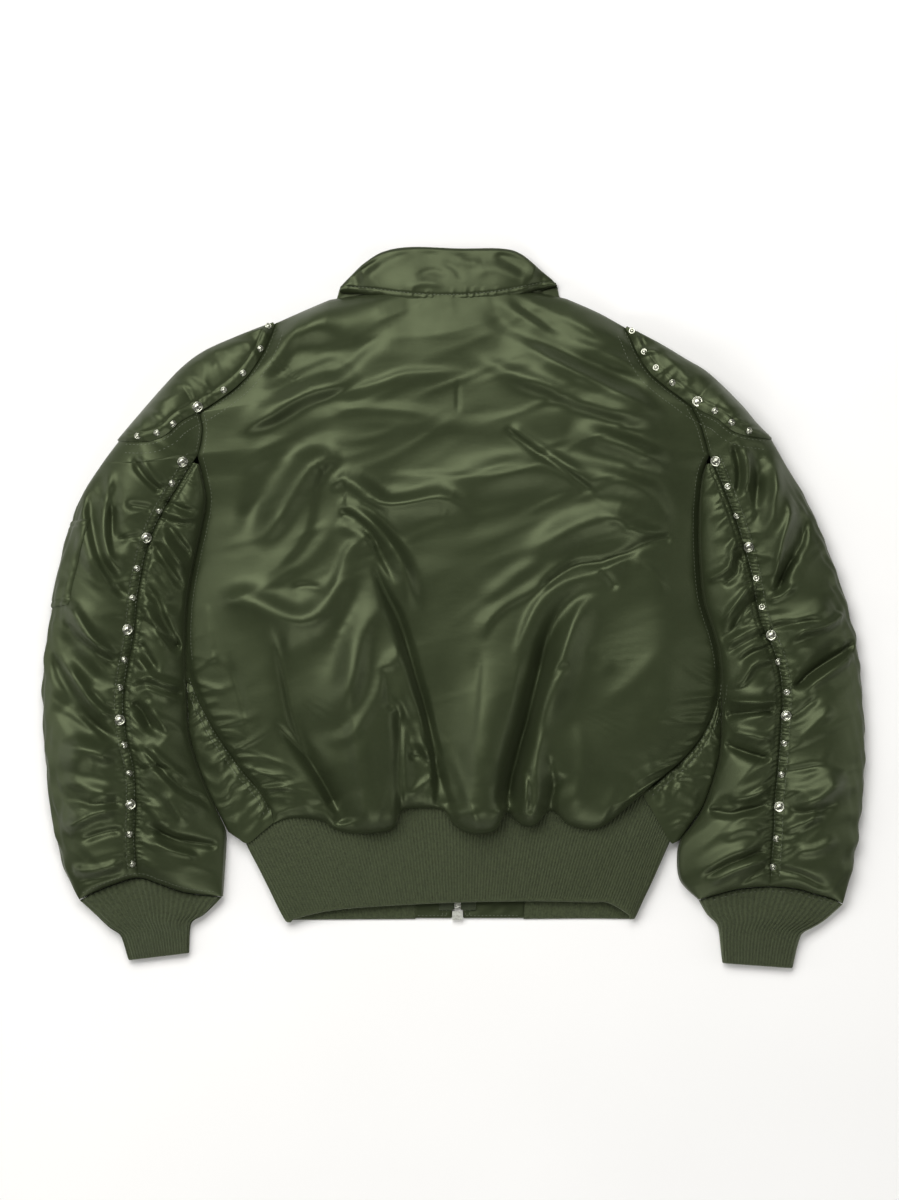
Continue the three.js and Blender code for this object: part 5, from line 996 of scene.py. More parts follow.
def sleeve_inner_points(side, t, w):
    piece = SLEEVE[side]
    seam, edge = piece["seam"].at(t), piece["inner"].at(t)
    width = np.hypot(*np.moveaxis(edge - seam, -1, 0))
    line, split = cuff_split(side)
    cuff_bow = line.at(split + (1 - split) * w) - mix(line.at(split), line.at(1.0), w)
    r = t * SLEEVE_ROWS[1]
    xy = mix(seam, edge, w) + cuff_bow * (np.clip(1 - (SLEEVE_ROWS[1] - r) / 6, 0, 1) ** 2)[..., None]
    free = np.sin(math.pi * np.minimum(1, w + 0.02)) ** 0.5
    calm = smooth(r / 5) * smooth((SLEEVE_ROWS[1] - r) / 3)
    edge_height = INNER_EDGE_HEIGHT(t)
    z = section_height(SEAM_HEIGHT(lerp(CAP_SHARE, 1, t)), edge_height, w, 10 * smooth(width / 60), 5)
    raised = FOLD_SCALE * relief(ALL_FOLDS, xy) * free * calm
    raised = raised + sleeve_details(side, "inner", xy, r, w * width)
    z = toward_cuff(t, piece["seam"].length, z + raised * smooth((1 - w) * 7))
    return to_part(xy, np.where(w >= 1, np.minimum(edge_height, z), z))


def make_sleeve_inner(side, material):
    t = np.linspace(INNER_START, 1, int(SLEEVE[side]["seam"].length / 1.1))
    w = np.concatenate([np.linspace(0, 0.9, 40)[:-1], 1 - 0.1 * np.linspace(1, 0, 9) ** 2])
    tt, ww = np.meshgrid(t, w, indexing="ij")
    top = sleeve_inner_points(side, tt, ww)
    foot = []
    for inset, height in ((-1.0, 0.8), (-1.4, 0.5), (-1.0, 0.2), (0.2, 0)):
        row = top[:, -1:].copy()
        row[..., 0] -= INWARDS[side] * inset
        row[..., 2] = 3.0 + (row[..., 2] - 3.0) * height
        foot.append(row)
    return cloth(f"sleeve_inner_panel_{side}", np.concatenate([top] + foot, 1), material)


# Saddles: the yoke over each shoulder, lapped over its neighbours and stitched down.
def saddle_points(side, q, w):
    piece = SADDLE[side]
    on_sleeve = q > SADDLE_SPLIT
    sleeve_share = (q - SADDLE_SPLIT) / (1 - SADDLE_SPLIT)
    body_line, sleeve_line = piece["body_edge"].at(q / SADDLE_SPLIT), piece["sleeve_edge"].at(sleeve_share)
    lines = np.where(on_sleeve[..., None], sleeve_line, body_line)
    fold = piece["fold"].at(q)
    xy = mix(lines, fold, w)
    width = np.hypot(*np.moveaxis(fold - lines, -1, 0))
    row = np.zeros_like(q)
    on_seam = sleeve_outer_points(side, row, np.clip(sleeve_share, 0, 1), detail=False)[..., 2]
    seam_height = np.where(on_sleeve, on_seam, EDGE_HEIGHT[side](lines[..., 1]))
    full = lerp(0.5, 1, smooth(q / 0.12))
    middle = ROLL["middle"] * full
    start = np.maximum(seam_height, middle + 0.5)
    swell = 4 * smooth(width / 40) * np.sin(math.pi * np.clip(w, 0, 1))
    z = middle + (start - middle) * np.sqrt(np.maximum(0, 1 - np.clip(w, 0, 1) ** 3.2)) + swell
    away = w * width
    x, y = xy[..., 0], xy[..., 1]
    along = q * 200
    z = z + smooth((1 - w) * 6) * (
        gathers(along, away, 61 + INWARDS[side], 11, 34, 1.4)
        + drape(x, y, 67, 22, 0.7)
        + groove(away - 11, 1.6, 0.9)
        + 0.9 * np.exp(-(((away - 5.5) / 4) ** 2))
    )
    return to_part(xy, z + 0.9 * smooth((1 - w) * 8))


def make_saddle(side, material):
    q = np.linspace(0.004, 1, 150)
    w = np.concatenate([[0], np.linspace(0.01, 0.9, 36), 1 - 0.1 * np.linspace(0.9, 0, 8) ** 2])
    qq, ww = np.meshgrid(q, w, indexing="ij")
    top = saddle_points(side, qq, ww)
    top[:, 0, 2] -= 2.2
    edge = top[:, -1]
    fold = SADDLE[side]["fold"]
    run = to_part(fold.at(np.minimum(1, q + 0.02)), 0 * q) - to_part(fold.at(np.maximum(0, q - 0.02)), 0 * q)
    square = np.stack([-run[:, 1], run[:, 0], 0 * q], -1)
    square /= np.linalg.norm(square, axis=1, keepdims=True)
    square *= np.where(square[:, 1:2] > 0, -1, 1)
    body_edge = SADDLE[side]["body_edge"]
    edge_run = to_part(body_edge.at(0.2), 0.0) - to_part(body_edge.at(0.0), 0.0)
    edge_run /= np.linalg.norm(edge_run)
    near_neck, near_arm = (1 - smooth(q / 0.2))[:, None], smooth((q - 0.7) / 0.3)[:, None]
    square = square * (1 - near_neck) + edge_run * near_neck
    square = square * (1 - near_arm) + np.array([INWARDS[side], 0, 0.0]) * near_arm
    square /= np.linalg.norm(square, axis=1, keepdims=True)
    full = lerp(0.5, 1, smooth(q / 0.12))
    under = roll_under(edge, square * full[:, None], np.linspace(ROLL_START, 1, 8))
    return cloth(f"saddle_patch_{side}", np.concatenate([top, under], 1), material)


# Side panels, below the drawn-up side seams
def side_points(side, t, w):
    seam = SIDE_SEAM[side].at(np.maximum(SIDE_START, t))
    fold, hem = SIDE_FOLD[side].at(t), SIDE_HEM[side]
    bow = hem.at(w) - mix(hem.at(0.0), hem.at(1.0), w)
    xy = mix(seam, fold, w) + bow * (t**4)[..., None]
    middle = ROLL["middle"] * SIDE_ROLL
    start = np.maximum(middle + 1, EDGE_HEIGHT[side](seam[..., 1]))
    z = section_height(start, middle, w, 3 * np.sin(math.pi * t), 3)
    width = np.hypot(*np.moveaxis(fold - seam, -1, 0))
    away = w * width
    along = t * SIDE_SEAM[side].length
    x, y = xy[..., 0], xy[..., 1]
    z = z + smooth((1 - w) * 6) * smooth((1 - t) * 9) * (
        gathers(along, away, 81, 8, 34, 2.4)
        + drape(x, y, 85, 18, 0.9)
        + groove(away, 2.0, 2.0)
        + groove(away - 8, 1.4, 0.8)
    )
    return to_part(xy, z)


def make_side(side, material):
    t = np.linspace(0, 1, 90)
    w = np.concatenate([np.linspace(0, 0.9, 30)[:-1], 1 - 0.1 * np.linspace(1, 0, 8) ** 2])
    tt, ww = np.meshgrid(t, w, indexing="ij")
    top = side_points(side, tt, ww)
    # Down to the notch the panel presses against the sleeve.
    press = 1.3 * (1 - smooth((t - 0.75) / 0.2))
    top[..., 0] -= INWARDS[side] * press[:, None] * smooth((w - 0.6) / 0.4)[None, :]
    edge = top[:, -1]
    inwards = top[:, 0] - edge
    inwards[:, 2] = 0
    inwards /= np.linalg.norm(inwards, axis=1, keepdims=True)
    under = roll_under(edge, inwards, np.linspace(ROLL_START, 1, 7), SIDE_ROLL)
    grid = np.concatenate([top, under], 1)
    # Its upper end is tucked beneath the pleat of the back.
    tucked = []
    for up, drop in ((12, 3.5), (8, 2.0), (3, 0.8)):
        row = grid[:1] + [0, up, 0]
        row[..., 2] = np.maximum(row[..., 2] - drop, 3.0)
        tucked.append(row)
    return cloth(f"side_{side}", np.concatenate(tucked + [grid], 0), material)


# Waistband: a ring of rib whose two folds are the sides of the waist
FRONT_STEPS = 60
FOLD_STEPS = 25
BACK_STEPS = 500
BAND_STATIONS = 1250


def plan_3d(xy, z):
    return np.concatenate([xy, np.full(xy.shape[:1] + (1,), float(z))], 1)


def band_rails():
    """Dense seam and hem rails around the waist, from one front end to the other."""
    turns = np.linspace(-80, 80, FOLD_STEPS) * math.pi / 180

    def rail(front, back, which):
        parts = [plan_3d(front("left").at(np.linspace(1, 0, FRONT_STEPS)), 0)]
        for side in SIDES:
            x, y = BAND_FOLD[side][which]
            half = WAIST_HEIGHT / 2
            inset = half * (1 - np.cos(turns)) * INWARDS[side]
            fold = np.stack([x + inset, np.full_like(turns, y), half * (1 + np.sin(turns))], -1)
            if side == "left":
                parts += [fold, plan_3d(back.at(np.linspace(0.01, 0.99, BACK_STEPS)), WAIST_HEIGHT)]
            else:
                parts.append(fold[::-1])
        parts.append(plan_3d(front("right").at(np.linspace(0, 1, FRONT_STEPS)), 0))
        points = np.vstack(parts)
        run = np.concatenate([[0], np.cumsum(np.linalg.norm(np.diff(points, axis=0), axis=1))])
        return points, run

    def front_top(side):
        line = BAND_FRONT_TOP[side]
        return Line(line.at(np.linspace(0.05, BAND_SHARE[side], 20)))

    seam = rail(front_top, BAND_BACK_TOP, 0)
    hem = rail(lambda side: BAND_FRONT_HEM[side], BAND_BACK_HEM, 1)
    return seam, hem


def make_band(material):
    (seam, seam_run), (hem, hem_run) = band_rails()
    # The folds keep their places on both rails, so the parts between them are spread evenly.
    keys = np.cumsum([0, FRONT_STEPS - 1, FOLD_STEPS, BACK_STEPS, FOLD_STEPS, FRONT_STEPS])
    lengths = np.diff(hem_run[keys])
    counts = np.maximum(14, np.round(BAND_STATIONS * lengths / lengths.sum())).astype(int)
    columns = []
    for k, count in enumerate(counts):
        s = np.linspace(0, 1, count, endpoint=k == len(counts) - 1)
        pair = []
        for points, run in ((seam, seam_run), (hem, hem_run)):
            at = lerp(run[keys[k]], run[keys[k + 1]], s)
            pair.append(np.stack([np.interp(at, run, points[:, c]) for c in range(3)], -1))
        columns.append(np.stack(pair))
    top, bottom = np.concatenate(columns, 1)
    around = np.concatenate([[0], np.cumsum(np.linalg.norm(np.diff(bottom, axis=0), axis=1))])
    w = np.concatenate([[-0.1, -0.04], np.linspace(0, 0.9, 24), [0.94, 0.97, 0.985, 1.0]])
    grid = top[:, None] + (bottom - top)[:, None] * w[None, :, None]
    grid[..., 0] -= SHEET_CENTRE[0]
    grid[..., 1] = SHEET_CENTRE[1] - grid[..., 1]
    run = np.gradient(bottom, axis=0)
    outward = np.stack([-run[:, 2], 0 * run[:, 0], run[:, 0]], -1)
    outward /= np.linalg.norm(outward, axis=1, keepdims=True) + 1e-9
    # Ribs run from seam to hem. They draw together at the seam, and the band is softly uneven.
    rib = np.cos(around * math.tau / RIB_PITCH)[:, None]
    swell = 0.6 * np.sin(math.pi * np.maximum(0, w))[None, :] ** 0.7 + 0.3 * np.sin(around / 23)[:, None]
    slack = ripple(grid[..., 0], grid[..., 1], 41, 55, 0.5)
    rise = 0.8 * rib * (1 - smooth((w - 0.95) / 0.05))[None, :] + swell + slack
    on_back = smooth((grid[..., 2] - 4) / 6)
    grid = grid + outward[:, None, :] * (rise * lerp(0.25, 1, on_back))[..., None]
    hem_round = smooth((w - 0.9) / 0.1)[None, :]
    grid[..., 2] = np.maximum(grid[..., 2] - 1.4 * hem_round * on_back, 0.15)
    # The band is doubled: past the hem its inner face runs back up, one wall in.
    lip = grid[:, -1:] - outward[:, None, :] * RIB_WALL / 2 + [0, -0.9, 0]
    back_up = grid[:, ::-1][:, 1:20:3] - outward[:, None, :] * RIB_WALL
    back_up = back_up + outward[:, None, :] * 0.25 * rib[..., None]
    grid = np.concatenate([grid, lip, back_up], 1)
    return cloth("waist_rib", grid, material)


def make_cuff(side, material):
    """A flattened tube of rib, drawn in below its seam."""
    rows, stations = 44, CUFF_RIBS * 12
    seam_edge = Line(SLEEVE[side]["cuff_edge"])
    t = np.linspace(0, 1, rows)[:, None]
    outer, inner = CUFF[side]["outer"].at(t), CUFF[side]["inner"].at(t)
    width = np.hypot(*np.moveaxis(inner - outer, -1, 0))
    height = lerp(CUFF_HEIGHT, CUFF_HEIGHT - 1, t)
    around = np.linspace(0, 1, stations, endpoint=False)[None, :]
    flat = width - height
    half = height / 2
    total = 2 * flat + math.tau * half
    run = around * total
    on_top, on_round = run < flat, (run >= flat) & (run < flat + math.pi * half)
    on_base = (run >= flat + math.pi * half) & (run < 2 * flat + math.pi * half)
    turn_a = (run - flat) / half
    turn_b = (run - 2 * flat - math.pi * half) / half
    across = np.where(on_top, half + run, 0)
    across = np.where(on_round, width - half + half * np.sin(turn_a), across)
    across = np.where(on_base, width - half - (run - flat - math.pi * half), across)
    last = ~(on_top | on_round | on_base)
    across = np.where(last, half - half * np.sin(turn_b), across)
    z = np.where(on_top, height, 0)
    z = np.where(on_round, half + half * np.cos(turn_a), z)
    z = np.where(last, half - half * np.cos(turn_b), z)
    w = across / width
    bow = seam_edge.at(w) - mix(seam_edge.at(0.0), seam_edge.at(1.0), w)
    xy = mix(outer, inner, w) + bow * ((1 - t) ** 1.5)[..., None]
    top_share = z / height
    # Ribs fan slightly, and the cuff swells below the seam and again above its folded end.
    rib = np.cos(around * math.tau * CUFF_RIBS)
    rise = 0.75 * rib + ripple(xy[..., 0], xy[..., 1], 43 + INWARDS[side], 36, 0.6)
    rise = rise + 0.7 * np.sin(math.pi * t) * smooth((top_share - 0.4) * 3)
    end = smooth((t - 0.93) / 0.07)
    start = 1 - smooth(t / 0.06)
    upper = top_share > 0.5
    z = z + np.where(upper, 1, 0) * rise * (1 - 0.7 * end) - 1.6 * end * np.where(upper, 1, -0.6)
    z = z + start * np.where(upper, -1.2, 0.4)
    grid = to_part(xy, np.maximum(z, 0.1))
    side_rib = (np.abs(top_share - 0.5) < 0.45) * 0.45 * rib
    grid[..., 0] += side_rib * np.where(w > 0.5, 1, -1)
    # The tube's end turns in on itself.
    middle = grid[-1:].mean(1, keepdims=True)
    for shrink, back in ((0.97, -0.8), (0.93, 1.5), (0.90, 9)):
        ring = middle + (grid[rows - 1 : rows] - middle) * [shrink, 1, 0.72]
        ring[..., 1] += back
        grid = np.concatenate([grid, ring], 0)
    return cloth(f"cuff_rib_{side}", grid, material, ring=True)


# Collar: the fall over the back neck, its turned edge and the layer under it
def collar_fold(u):
    """The line of the collar's upper fold and the height of its top."""
    return COLLAR_TOP.at(lerp(*COLLAR_REACH, u)), np.minimum(COLLAR_HEIGHT(u), COLLAR_LAYER) - 0.5


def collar_points(u, w):
    top, fold_top = collar_fold(u)
    edge = COLLAR_EDGE.at(u)
    edge_top = COLLAR_HEIGHT(u)
    xy = mix(edge, top, w * 0.96)
    height = np.hypot(*np.moveaxis(top - edge, -1, 0))
    away = w * height
    along = u * COLLAR_EDGE.length
    x, y = xy[..., 0], xy[..., 1]
    z = lerp(edge_top, fold_top, smooth(w)) + 2.4 * np.sin(math.pi * w) ** 0.8
    ends = smooth(u / 0.05) * smooth((1 - u) / 0.05)
    z = z + ends * smooth((1 - w) * 8) * (
        gathers(along, away, 91, 6.5, 13, 1.1)
        + relief(COLLAR_FOLDS, xy)
        + ripple(x, y, 93, 48, 0.5)
        + groove(away - 6.5, 1.3, 0.8)
        - 0.8 * np.exp(-((away / 1.4) ** 2))
    )
    return to_part(xy, z)


def make_collar(material):
    u = np.linspace(0, 1, 260)
    w = np.linspace(0, 1, 58)
    uu, ww = np.meshgrid(u, w, indexing="ij")
    fall = collar_points(uu, ww)
    top, fold_top = collar_fold(u)
    half = COLLAR_FOLD / 2
    rows = []
    for degrees in (75, 50, 25, 0, -25, -50, -75):
        turn = math.radians(degrees)
        xy = top + np.array([0, half * (1 - math.cos(turn))])
        rows.append(to_part(xy, fold_top - half + half * math.sin(turn))[:, None])
    # The edge of the fall is turned under too, onto the neck seam.
    seam = NECKLINE.at(lerp(0.03, 0.97, u)) - np.array([0, 0.6])
    seam_top = np.minimum(NECK_HEIGHT(seam[:, 0]), COLLAR_HEIGHT(u) - COLLAR_WALL - 0.5)
    for w_under in (0.1, 0.3, 0.6, 1):
        xy = mix(top, seam, np.full_like(u, lerp(0.08, 1, w_under)))
        z = lerp(fold_top - COLLAR_FOLD, seam_top - COLLAR_WALL, smooth(w_under))
        rows.append(to_part(xy, z)[:, None])
    lip = []
    for drop, back in ((1.6, 3.0), (2.2, 0.9), (1.1, -0.5)):
        row = fall[:, :1].copy()
        row[..., 2] = np.maximum(row[..., 2] - drop, 0.4)
        row[..., 1] += back
        lip.append(row)
    grid = np.concatenate(lip + [fall] + rows, 1)
    return cloth("collar_fall", grid, material)


def stretched_to(values, end):
    """Stretches a run of places so that its last one lies on end."""
    first, last = values[0], values[-1]
    return first + (values - first) * (end - first) / (last - first)


def make_wing(side, material):
    """The collar's front wing, which lies open on the surface."""
    start = {"left": 0.06, "right": 0.94}[side]
    s = np.linspace(0, 1, 60)
    top = COLLAR_TOP.at(lerp(start, 0.5, s)) + np.array([0, 3])
    top[:, 0] = stretched_to(top[:, 0], FRONT_EDGE[side])
    base = FRONT_NECK[side].at(s)
    order = base[:, 0].argsort() if side == "left" else (-base[:, 0]).argsort()
    base = base[order]
    w = np.linspace(0, 1, 14)
    xy = top[:, None] + (base - top)[:, None] * w[None, :, None]
    z = 0.25 + 2.3 * np.minimum(1, np.sin(math.pi * np.clip(w, 0.03, 0.97)) * 1.6)[None, :] + 0 * xy[..., 0]
    return cloth(f"collar_wing_{side}", to_part(xy, z), material)


# The layer that lies on the surface: fronts, sleeve undersides and the ends of the waistband
PLATE_TOP = 2.5
LIP_LINE = 14.5
BODY_MIDDLE = (458, 600)
ARMHOLE_ON_SADDLE = 0.46
BAND_ENDS = {"left": (414.6, 452), "right": (463, 524.4)}
BAND_END_ROWS = (832.6, 918)
WALL_ROUND = 1.25


def inset(line, amount, towards, count, start=0.0, end=1.0):
    """Points beside a line, on the side that looks towards a plan point."""
    t = np.linspace(start, end, count + 1)
    place = line.at(t)
    run = line.at(np.minimum(1, t + 0.01)) - line.at(np.maximum(0, t - 0.01))
    normal = np.stack([-run[:, 1], run[:, 0]], -1) / np.hypot(*run.T)[:, None]
    turn = np.sign((normal * (np.array(towards) - place)).sum(1))[:, None]
    return place + normal * amount * turn


def front_outline(side):
    saddle = SADDLE[side]
    parts = [
        inset(FRONT_NECK[side], 0.15, BODY_MIDDLE, 30)[::-1],
        saddle["body_edge"].at(0.0)[None],
        inset(saddle["fold"], LIP_LINE, BODY_MIDDLE, 12, 0.03, ARMHOLE_ON_SADDLE - 0.06),
        inset(FRONT_ARMHOLE[side], 0.15, BODY_MIDDLE, 12),
        inset(PLEAT[side], 0.1, BODY_MIDDLE, 32, 0.03, 0.96),
        inset(SIDE_FOLD[side], LIP_LINE * SIDE_ROLL + 0.5, BODY_MIDDLE, 24),
        inset(BAND_FRONT_TOP[side], 0.9, BODY_MIDDLE, 20, 0.12, 1),
    ]
    return np.vstack(parts)


def under_outline(side):
    away = {"left": (0, 420), "right": (900, 420)}[side]
    sleeve = SLEEVE[side]
    middle = sleeve["seam"].at(0.5)
    parts = [
        inset(SADDLE[side]["fold"], LIP_LINE, BODY_MIDDLE, 12, ARMHOLE_ON_SADDLE, 0.9),
        inset(sleeve["outer"], LIP_LINE, middle, 48, 0.02, 1),
        inset(Line(sleeve["cuff_edge"]), 0.3, sleeve["seam"].at(0.8), 16, 0.12, 0.99),
        inset(sleeve["inner"], 0.4, middle, 48, 0.02, 0.98)[::-1],
        inset(FRONT_ARMHOLE[side], 0.15, away, 12)[::-1],
    ]
    return np.vstack(parts)


def band_end_outline(side):
    (left, right), (top, hem) = BAND_ENDS[side], BAND_END_ROWS
    return np.array([[left, top], [right, top], [right, hem], [left, hem]], float)


def inside(points, loop):
    """Whether each plan point lies inside a closed loop."""
    x, y = points[:, None, 0], points[:, None, 1]
    a, b = loop, np.roll(loop, -1, 0)
    rise = b[:, 1] - a[:, 1]
    crosses = (a[:, 1] > y) != (b[:, 1] > y)
    at = a[:, 0] + (y - a[:, 1]) * (b[:, 0] - a[:, 0]) / np.where(rise == 0, 1e-9, rise)
    return (crosses & (x < at)).sum(1) % 2 == 1


def filled(outline, spacing):
    """Triangles over the inside of an outline, and how far in from its edge each point lies."""
    closed = np.vstack([outline, outline[:1]])
    run = np.concatenate([[0], np.cumsum(np.hypot(*np.diff(closed, axis=0).T))])
    steps = np.linspace(0, run[-1], int(run[-1] / 2.2), endpoint=False)
    loop = np.stack([np.interp(steps, run, closed[:, k]) for k in (0, 1)], -1)
    ahead = np.roll(loop, -1, 0) - np.roll(loop, 1, 0)
    square = np.stack([-ahead[:, 1], ahead[:, 0]], -1) / (np.hypot(*ahead.T)[:, None] + 1e-9)
    if inside(loop + 0.4 * square, loop).mean() < 0.5:
        square = -square
    low, high = loop.min(0), loop.max(0)
    gx, gy = np.meshgrid(np.arange(low[0], high[0], spacing), np.arange(low[1], high[1], spacing))
    gx[::2] += spacing / 2
    lattice = np.stack([gx.ravel(), gy.ravel()], -1)
    within = np.vstack([loop + 0.35 * square, loop + WALL_ROUND * square, lattice])
    gap = edge_gap(within, loop)
    rings = np.arange(len(within)) < 2 * len(loop)
    within = within[inside(within, loop) & (gap > np.where(rings, 0.25, 2.6))]
    places = [Vector(p) for p in np.vstack([loop, within])]
    edges = [(i, (i + 1) % len(loop)) for i in range(len(loop))]
    made = delaunay_2d_cdt(places, edges, [], 0, 1e-5)
    points, faces = np.array([tuple(p) for p in made[0]]), np.array([tuple(f) for f in made[2]])
    faces = faces[inside(points[faces].mean(1), loop)]
    used = np.unique(faces)
    faces = np.searchsorted(used, faces)
    return points[used], faces, edge_gap(points[used], loop)


def edge_gap(points, loop):
    a = loop
    d = np.roll(loop, -1, 0) - a
    gaps = []
    for part in np.array_split(points, max(1, len(points) // 400)):
        q = part[:, None] - a
        t = np.clip((q * d).sum(-1) / ((d * d).sum(-1) + 1e-9), 0, 1)
        gaps.append(np.linalg.norm(q - t[..., None] * d, axis=-1).min(1))
    return np.concatenate(gaps)


def on_rim(faces, count):
    """Which points lie on the outline: the ends of edges that only one triangle uses."""
    pairs = np.sort(np.vstack([faces[:, [0, 1]], faces[:, [1, 2]], faces[:, [2, 0]]]), axis=1)
    edges, uses = np.unique(pairs, axis=0, return_counts=True)
    rim = np.zeros(count, bool)
    rim[edges[uses == 1].ravel()] = True
    return rim


def flat_piece(name, outline, low, high, material, upper, lower, spacing=4.0):
    """A cut piece lying flat, rounded along its edge. upper and lower give its relief at plan points."""
    xy, faces, gap = filled(outline, spacing)
    middle = (low + high) / 2
    body = round_off(gap / min(WALL_ROUND, high - low))
    free = smooth((gap - 0.8) / 7)
    top = to_part(xy, middle + (high - middle) * body + upper(xy) * free)
    base = to_part(xy, middle - (middle - low) * body + lower(xy) * free)
    count = len(xy)
    edge = on_rim(faces, count)
    a, b, c = (top[faces[:, k]] for k in range(3))
    turned = np.cross(b - a, c - a)[:, 2] < 0
    faces[turned] = faces[turned][:, ::-1]
    beneath = np.where(edge, np.arange(count), np.arange(count) + count)[faces][:, ::-1]
    points = np.vstack([top, base])
    everything = np.vstack([faces, beneath])
    used = np.unique(everything)
    return make_object(name, points[used], np.searchsorted(used, everything), material)


def worn_underside(folds, seed, turn):
    """Hollows that the cloth keeps above the surface, between the places where it touches."""

    def rise(xy):
        x, y = xy.T
        hollow = drape(x, y, seed, 38, 1.0, (2.2, 0.8), turn) + ripple(x, y, seed + 5, 16, 0.35)
        return np.clip(1.2 * smooth(0.3 + 0.45 * hollow) + relief(folds, xy), 0, 1.5)

    return rise


def soft_top(seed, depth=0.4):
    return lambda xy: ripple(xy[:, 0], xy[:, 1], seed, 30, depth) - depth


def make_front(side, material):
    lower = worn_underside(FRONT_FOLDS[side], 171 + INWARDS[side], -0.5 * INWARDS[side])
    upper = soft_top(175, 0.1)
    return flat_piece(f"front_panel_{side}", front_outline(side), 0, PLATE_TOP, material, upper, lower)


def make_under(side, material):
    lower = worn_underside(UNDER_FOLDS[side], 181 + INWARDS[side], 0.5 * INWARDS[side])
    upper = soft_top(185, 0.1)
    return flat_piece(f"sleeve_underside_{side}", under_outline(side), 0, PLATE_TOP, material, upper, lower)


def make_band_end(side, material):
    def upper(xy):
        x, y = xy.T
        column = x - BAND_STITCH[side]
        return ripple(x, y, 191, 14, 0.22) + groove(column, 1.1, 0.55) + groove(column + 4, 1.1, 0.4) - 0.3

    outline = band_end_outline(side)
    lower = worn_underside([], 193, 0.3)
    return flat_piece(f"waist_end_{side}", outline, 0, RIB_WALL, material, upper, lower, 2.0)


def make_gusset(side, material):
    """The strip of cloth that stands behind each pleat."""
    place = PLEAT[side].at(np.linspace(0.01, 1, 150))
    low, high = PLATE_TOP + 0.35, EDGE_HEIGHT[side](place[:, 1]) - 3.7
    w = np.linspace(0, 1, 16)[None, :]
    z = lerp(low, high[:, None], w)
    wave = ripple(place[:, 1:] + 0 * w, z, 197, 26, 0.5) + 0.7 * np.sin(math.pi * w)
    xy = np.stack([place[:, :1] + INWARDS[side] * (1.4 + np.clip(wave, -0.2, 1.6)), place[:, 1:] + 0 * w], -1)
    return cloth(f"gusset_{side}", to_part(xy, z), material)


# Zip: woven tapes and the teeth of the joined chain
ZIP_CENTRE = 457.5
ZIP_ROWS = {"top": 345, "slider_end": 358, "bottom": 911}
TAPE = {"width": 15, "low": 2.85, "high": 3.65}
TOOTH = {"pitch": 2.7, "reach": 3.0, "cross": 0.9, "length": 1.55, "low": 3.3, "high": 5.1}


def make_tape(side, material):
    out = -INWARDS[side]
    near, by_slider = ZIP_CENTRE + out * 3.3, ZIP_CENTRE + out * 4.8
    far = near + out * TAPE["width"]
    top, hem, step = ZIP_ROWS["top"] - 0.5, ZIP_ROWS["bottom"] - 1, ZIP_ROWS["slider_end"] + 1
    outline = [[by_slider, top], [far, top], [far, hem], [near, hem], [near, step], [by_slider, step]]
    outline, flat = np.array(outline, float), soft_top(201, 0.03)
    low, high = TAPE["low"], TAPE["high"]
    return flat_piece(f"zip_tape_woven_{side}", outline, low, high, material, flat, lambda xy: -flat(xy), 3.0)


def make_teeth(material):
    """Cast teeth, one side's between the other's."""
    points, faces = [], []
    start, end = ZIP_ROWS["slider_end"] + 1.2, ZIP_ROWS["bottom"] - 1.2
    for k in range(int((end - start) / TOOTH["pitch"] * 2)):
        out = 1 if k % 2 else -1
        y = start + k * TOOTH["pitch"] / 2
        near, far = -out * TOOTH["cross"], out * TOOTH["reach"]
        first = len(points)
        for z, shrink in ((TOOTH["low"], 0), (TOOTH["high"] - 0.4, 0), (TOOTH["high"], 0.35)):
            half = TOOTH["length"] / 2 - shrink
            span = (near + out * shrink, far - out * shrink)
            for x, dy in ((span[0], -half * 0.7), (span[1], -half), (span[1], half), (span[0], half * 0.7)):
                points.append(to_part(np.array([ZIP_CENTRE + x, y + dy]), z))
        turn = 1 if out > 0 else -1
        loops = [[0, 1, 2, 3], [11, 10, 9, 8]]
        for ring in (0, 4):
            loops += [[ring + j, ring + 4 + j, ring + 4 + (j + 1) % 4, ring + (j + 1) % 4] for j in range(4)]
        faces += [[first + i for i in loop[::turn]] for loop in loops]
    teeth = make_object("zip_teeth", np.array(points), np.array(faces), material)
    teeth.data.polygons.foreach_set("use_smooth", np.zeros(len(faces), bool))
    return teeth


# The utility pocket on the wearer's left sleeve lies over the sleeve's outer fold.
POCKET = {"from": 521, "to": 609, "wall": 1.7, "gap": 0.4}
POCKET_COLUMNS = (50, 68)


